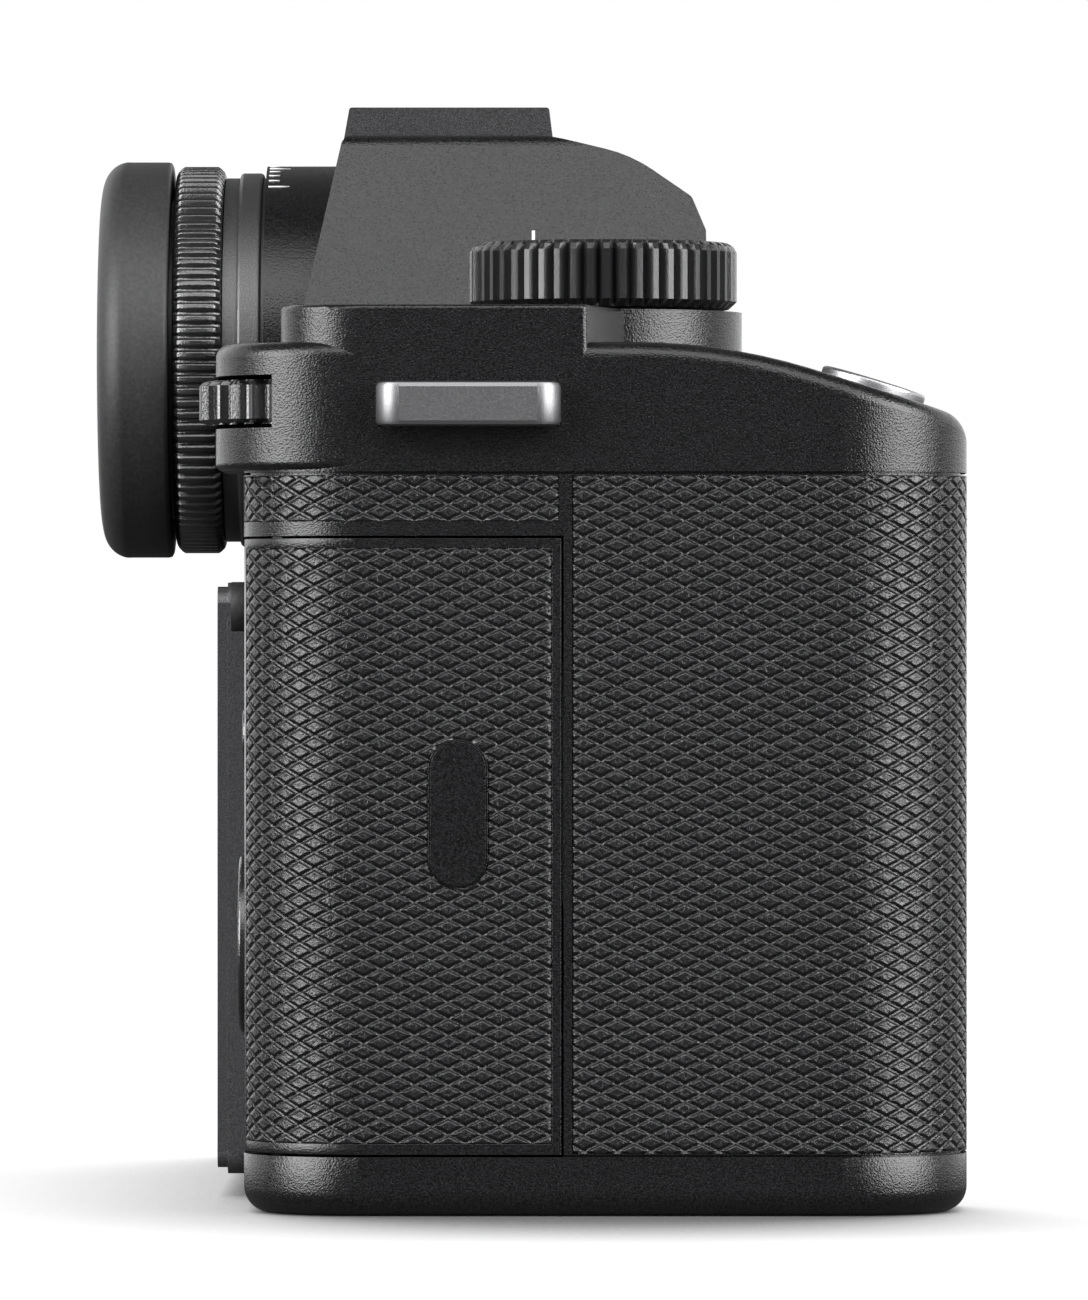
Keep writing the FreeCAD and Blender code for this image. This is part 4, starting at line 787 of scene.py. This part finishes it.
def pale_floor():
    """Pale floor, white farther away, with a soft shadow where the body is near.

    The shadow is ambient occlusion about a direction tilted 70 degrees towards the back,
    so it's long in front of the body and short at its sides, as under a light behind it.
    """
    material = bpy.data.materials.new("pale floor")
    material.use_nodes = True
    nodes = material.node_tree.nodes
    links = material.node_tree.links
    nodes.remove(nodes["Principled BSDF"])
    plain = nodes.new("ShaderNodeBsdfDiffuse")
    plain.inputs["Color"].default_value = (0.08, 0.08, 0.08, 1)
    glow = nodes.new("ShaderNodeEmission")
    path = nodes.new("ShaderNodeLightPath")
    place = nodes.new("ShaderNodeTexCoord")
    split = nodes.new("ShaderNodeSeparateXYZ")
    links.new(place.outputs["Object"], split.inputs[0])
    far = nodes.new("ShaderNodeMapRange")
    far.inputs["From Min"].default_value = -3.85
    far.inputs["From Max"].default_value = -3.1
    far.inputs["To Min"].default_value = 0.97
    far.inputs["To Max"].default_value = 1.0
    links.new(split.outputs["X"], far.inputs["Value"])
    contact = nodes.new("ShaderNodeAmbientOcclusion")
    contact.samples = 16
    contact.inputs["Distance"].default_value = 0.055
    from_behind = nodes.new("ShaderNodeCombineXYZ")
    tilt = math.radians(70.0)
    from_behind.inputs["X"].default_value = math.sin(tilt)
    from_behind.inputs["Z"].default_value = math.cos(tilt)
    links.new(from_behind.outputs[0], contact.inputs["Normal"])
    deeper = nodes.new("ShaderNodeMath")
    deeper.operation = "MULTIPLY"
    soft = nodes.new("ShaderNodeMapRange")
    soft.interpolation_type = "SMOOTHSTEP"
    soft.inputs["From Min"].default_value = 0.34
    soft.inputs["From Max"].default_value = 0.95
    links.new(contact.outputs["AO"], soft.inputs["Value"])
    links.new(soft.outputs["Result"], deeper.inputs[0])
    links.new(far.outputs["Result"], deeper.inputs[1])
    share = nodes.new("ShaderNodeMath")
    share.operation = "MULTIPLY"
    links.new(path.outputs["Is Camera Ray"], share.inputs[0])
    links.new(deeper.outputs[0], share.inputs[1])
    links.new(share.outputs[0], glow.inputs["Strength"])
    both = nodes.new("ShaderNodeAddShader")
    links.new(plain.outputs[0], both.inputs[0])
    links.new(glow.outputs[0], both.inputs[1])
    links.new(both.outputs[0], nodes["Material Output"].inputs["Surface"])
    return material


bpy.ops.mesh.primitive_plane_add(size=14.0, location=(4.0, 0.0, 0.0))
floor = bpy.context.object
floor.name = "floor"
floor.data.materials.append(pale_floor())

bpy.context.scene.view_settings.view_transform = "Standard"
world = bpy.data.worlds.new("white surround")
bpy.context.scene.world = world
world.use_nodes = True
nodes = world.node_tree.nodes
links = world.node_tree.links
back = nodes["Background"]
back.inputs["Color"].default_value = (1.0, 1.0, 1.0, 1.0)
path = nodes.new("ShaderNodeLightPath")
place = nodes.new("ShaderNodeTexCoord")
split = nodes.new("ShaderNodeSeparateXYZ")
links.new(place.outputs["Generated"], split.inputs[0])
behind = nodes.new("ShaderNodeMapRange")
behind.inputs["From Min"].default_value = -0.6
behind.inputs["From Max"].default_value = 0.6
behind.inputs["To Min"].default_value = 0.02
behind.inputs["To Max"].default_value = 0.2
links.new(split.outputs["X"], behind.inputs["Value"])
mirrored = nodes.new("ShaderNodeMath")
mirrored.operation = "MULTIPLY"
links.new(behind.outputs["Result"], mirrored.inputs[0])
links.new(path.outputs["Is Glossy Ray"], mirrored.inputs[1])
seen = nodes.new("ShaderNodeMath")
seen.operation = "MAXIMUM"
links.new(path.outputs["Is Camera Ray"], seen.inputs[0])
links.new(path.outputs["Is Transmission Ray"], seen.inputs[1])
either = nodes.new("ShaderNodeMath")
either.operation = "MAXIMUM"
links.new(seen.outputs[0], either.inputs[0])
links.new(mirrored.outputs[0], either.inputs[1])
level = nodes.new("ShaderNodeMath")
level.operation = "MAXIMUM"
level.inputs[1].default_value = 0.06
links.new(either.outputs[0], level.inputs[0])
links.new(level.outputs[0], back.inputs["Strength"])


def lamp(name, place, aim, wide, high, power):
    """A soft rectangular lamp that looks at a point, in metres."""
    data = bpy.data.lights.new(name, "AREA")
    data.shape = "RECTANGLE"
    data.size = wide
    data.size_y = high
    data.energy = power
    made = bpy.data.objects.new(name, data)
    made.location = place
    made.rotation_euler = (Vector(aim) - Vector(place)).to_track_quat("-Z", "Y").to_euler()
    made.visible_camera = False
    bpy.context.scene.collection.objects.link(made)
    return made


middle = (-0.03, -0.005, 0.05)
lamp("above the camera", (-0.90, 0.0, 0.98), middle, 1.3, 0.85, 13.2)
lamp("rear side", (-0.56, 0.84, 0.25), middle, 0.8, 1.0, 30.0)
lamp("front side", (-0.54, -0.85, 0.25), middle, 0.9, 1.0, 32.0)
lamp("far side rear", (0.85, 0.85, 0.15), middle, 1.8, 1.4, 11.0)
lamp("far side front", (0.85, -0.85, 0.15), middle, 1.8, 1.4, 10.0)

camera_data = bpy.data.cameras.new("camera")
camera_data.sensor_fit = "HORIZONTAL"
camera_data.sensor_width = 36.0
pixels_per_mm = 10.64
view_distance = 1000.0
camera_data.lens = 36.0 * pixels_per_mm * view_distance / 1088.0
camera_data.clip_end = 50.0
camera = bpy.data.objects.new("camera", camera_data)
camera.location = (-(72.0 + view_distance) * MM, -5.0 * MM, 53.3 * MM)
camera.rotation_euler = (math.radians(90), 0.0, math.radians(-90))
bpy.context.scene.collection.objects.link(camera)
bpy.context.scene.camera = camera
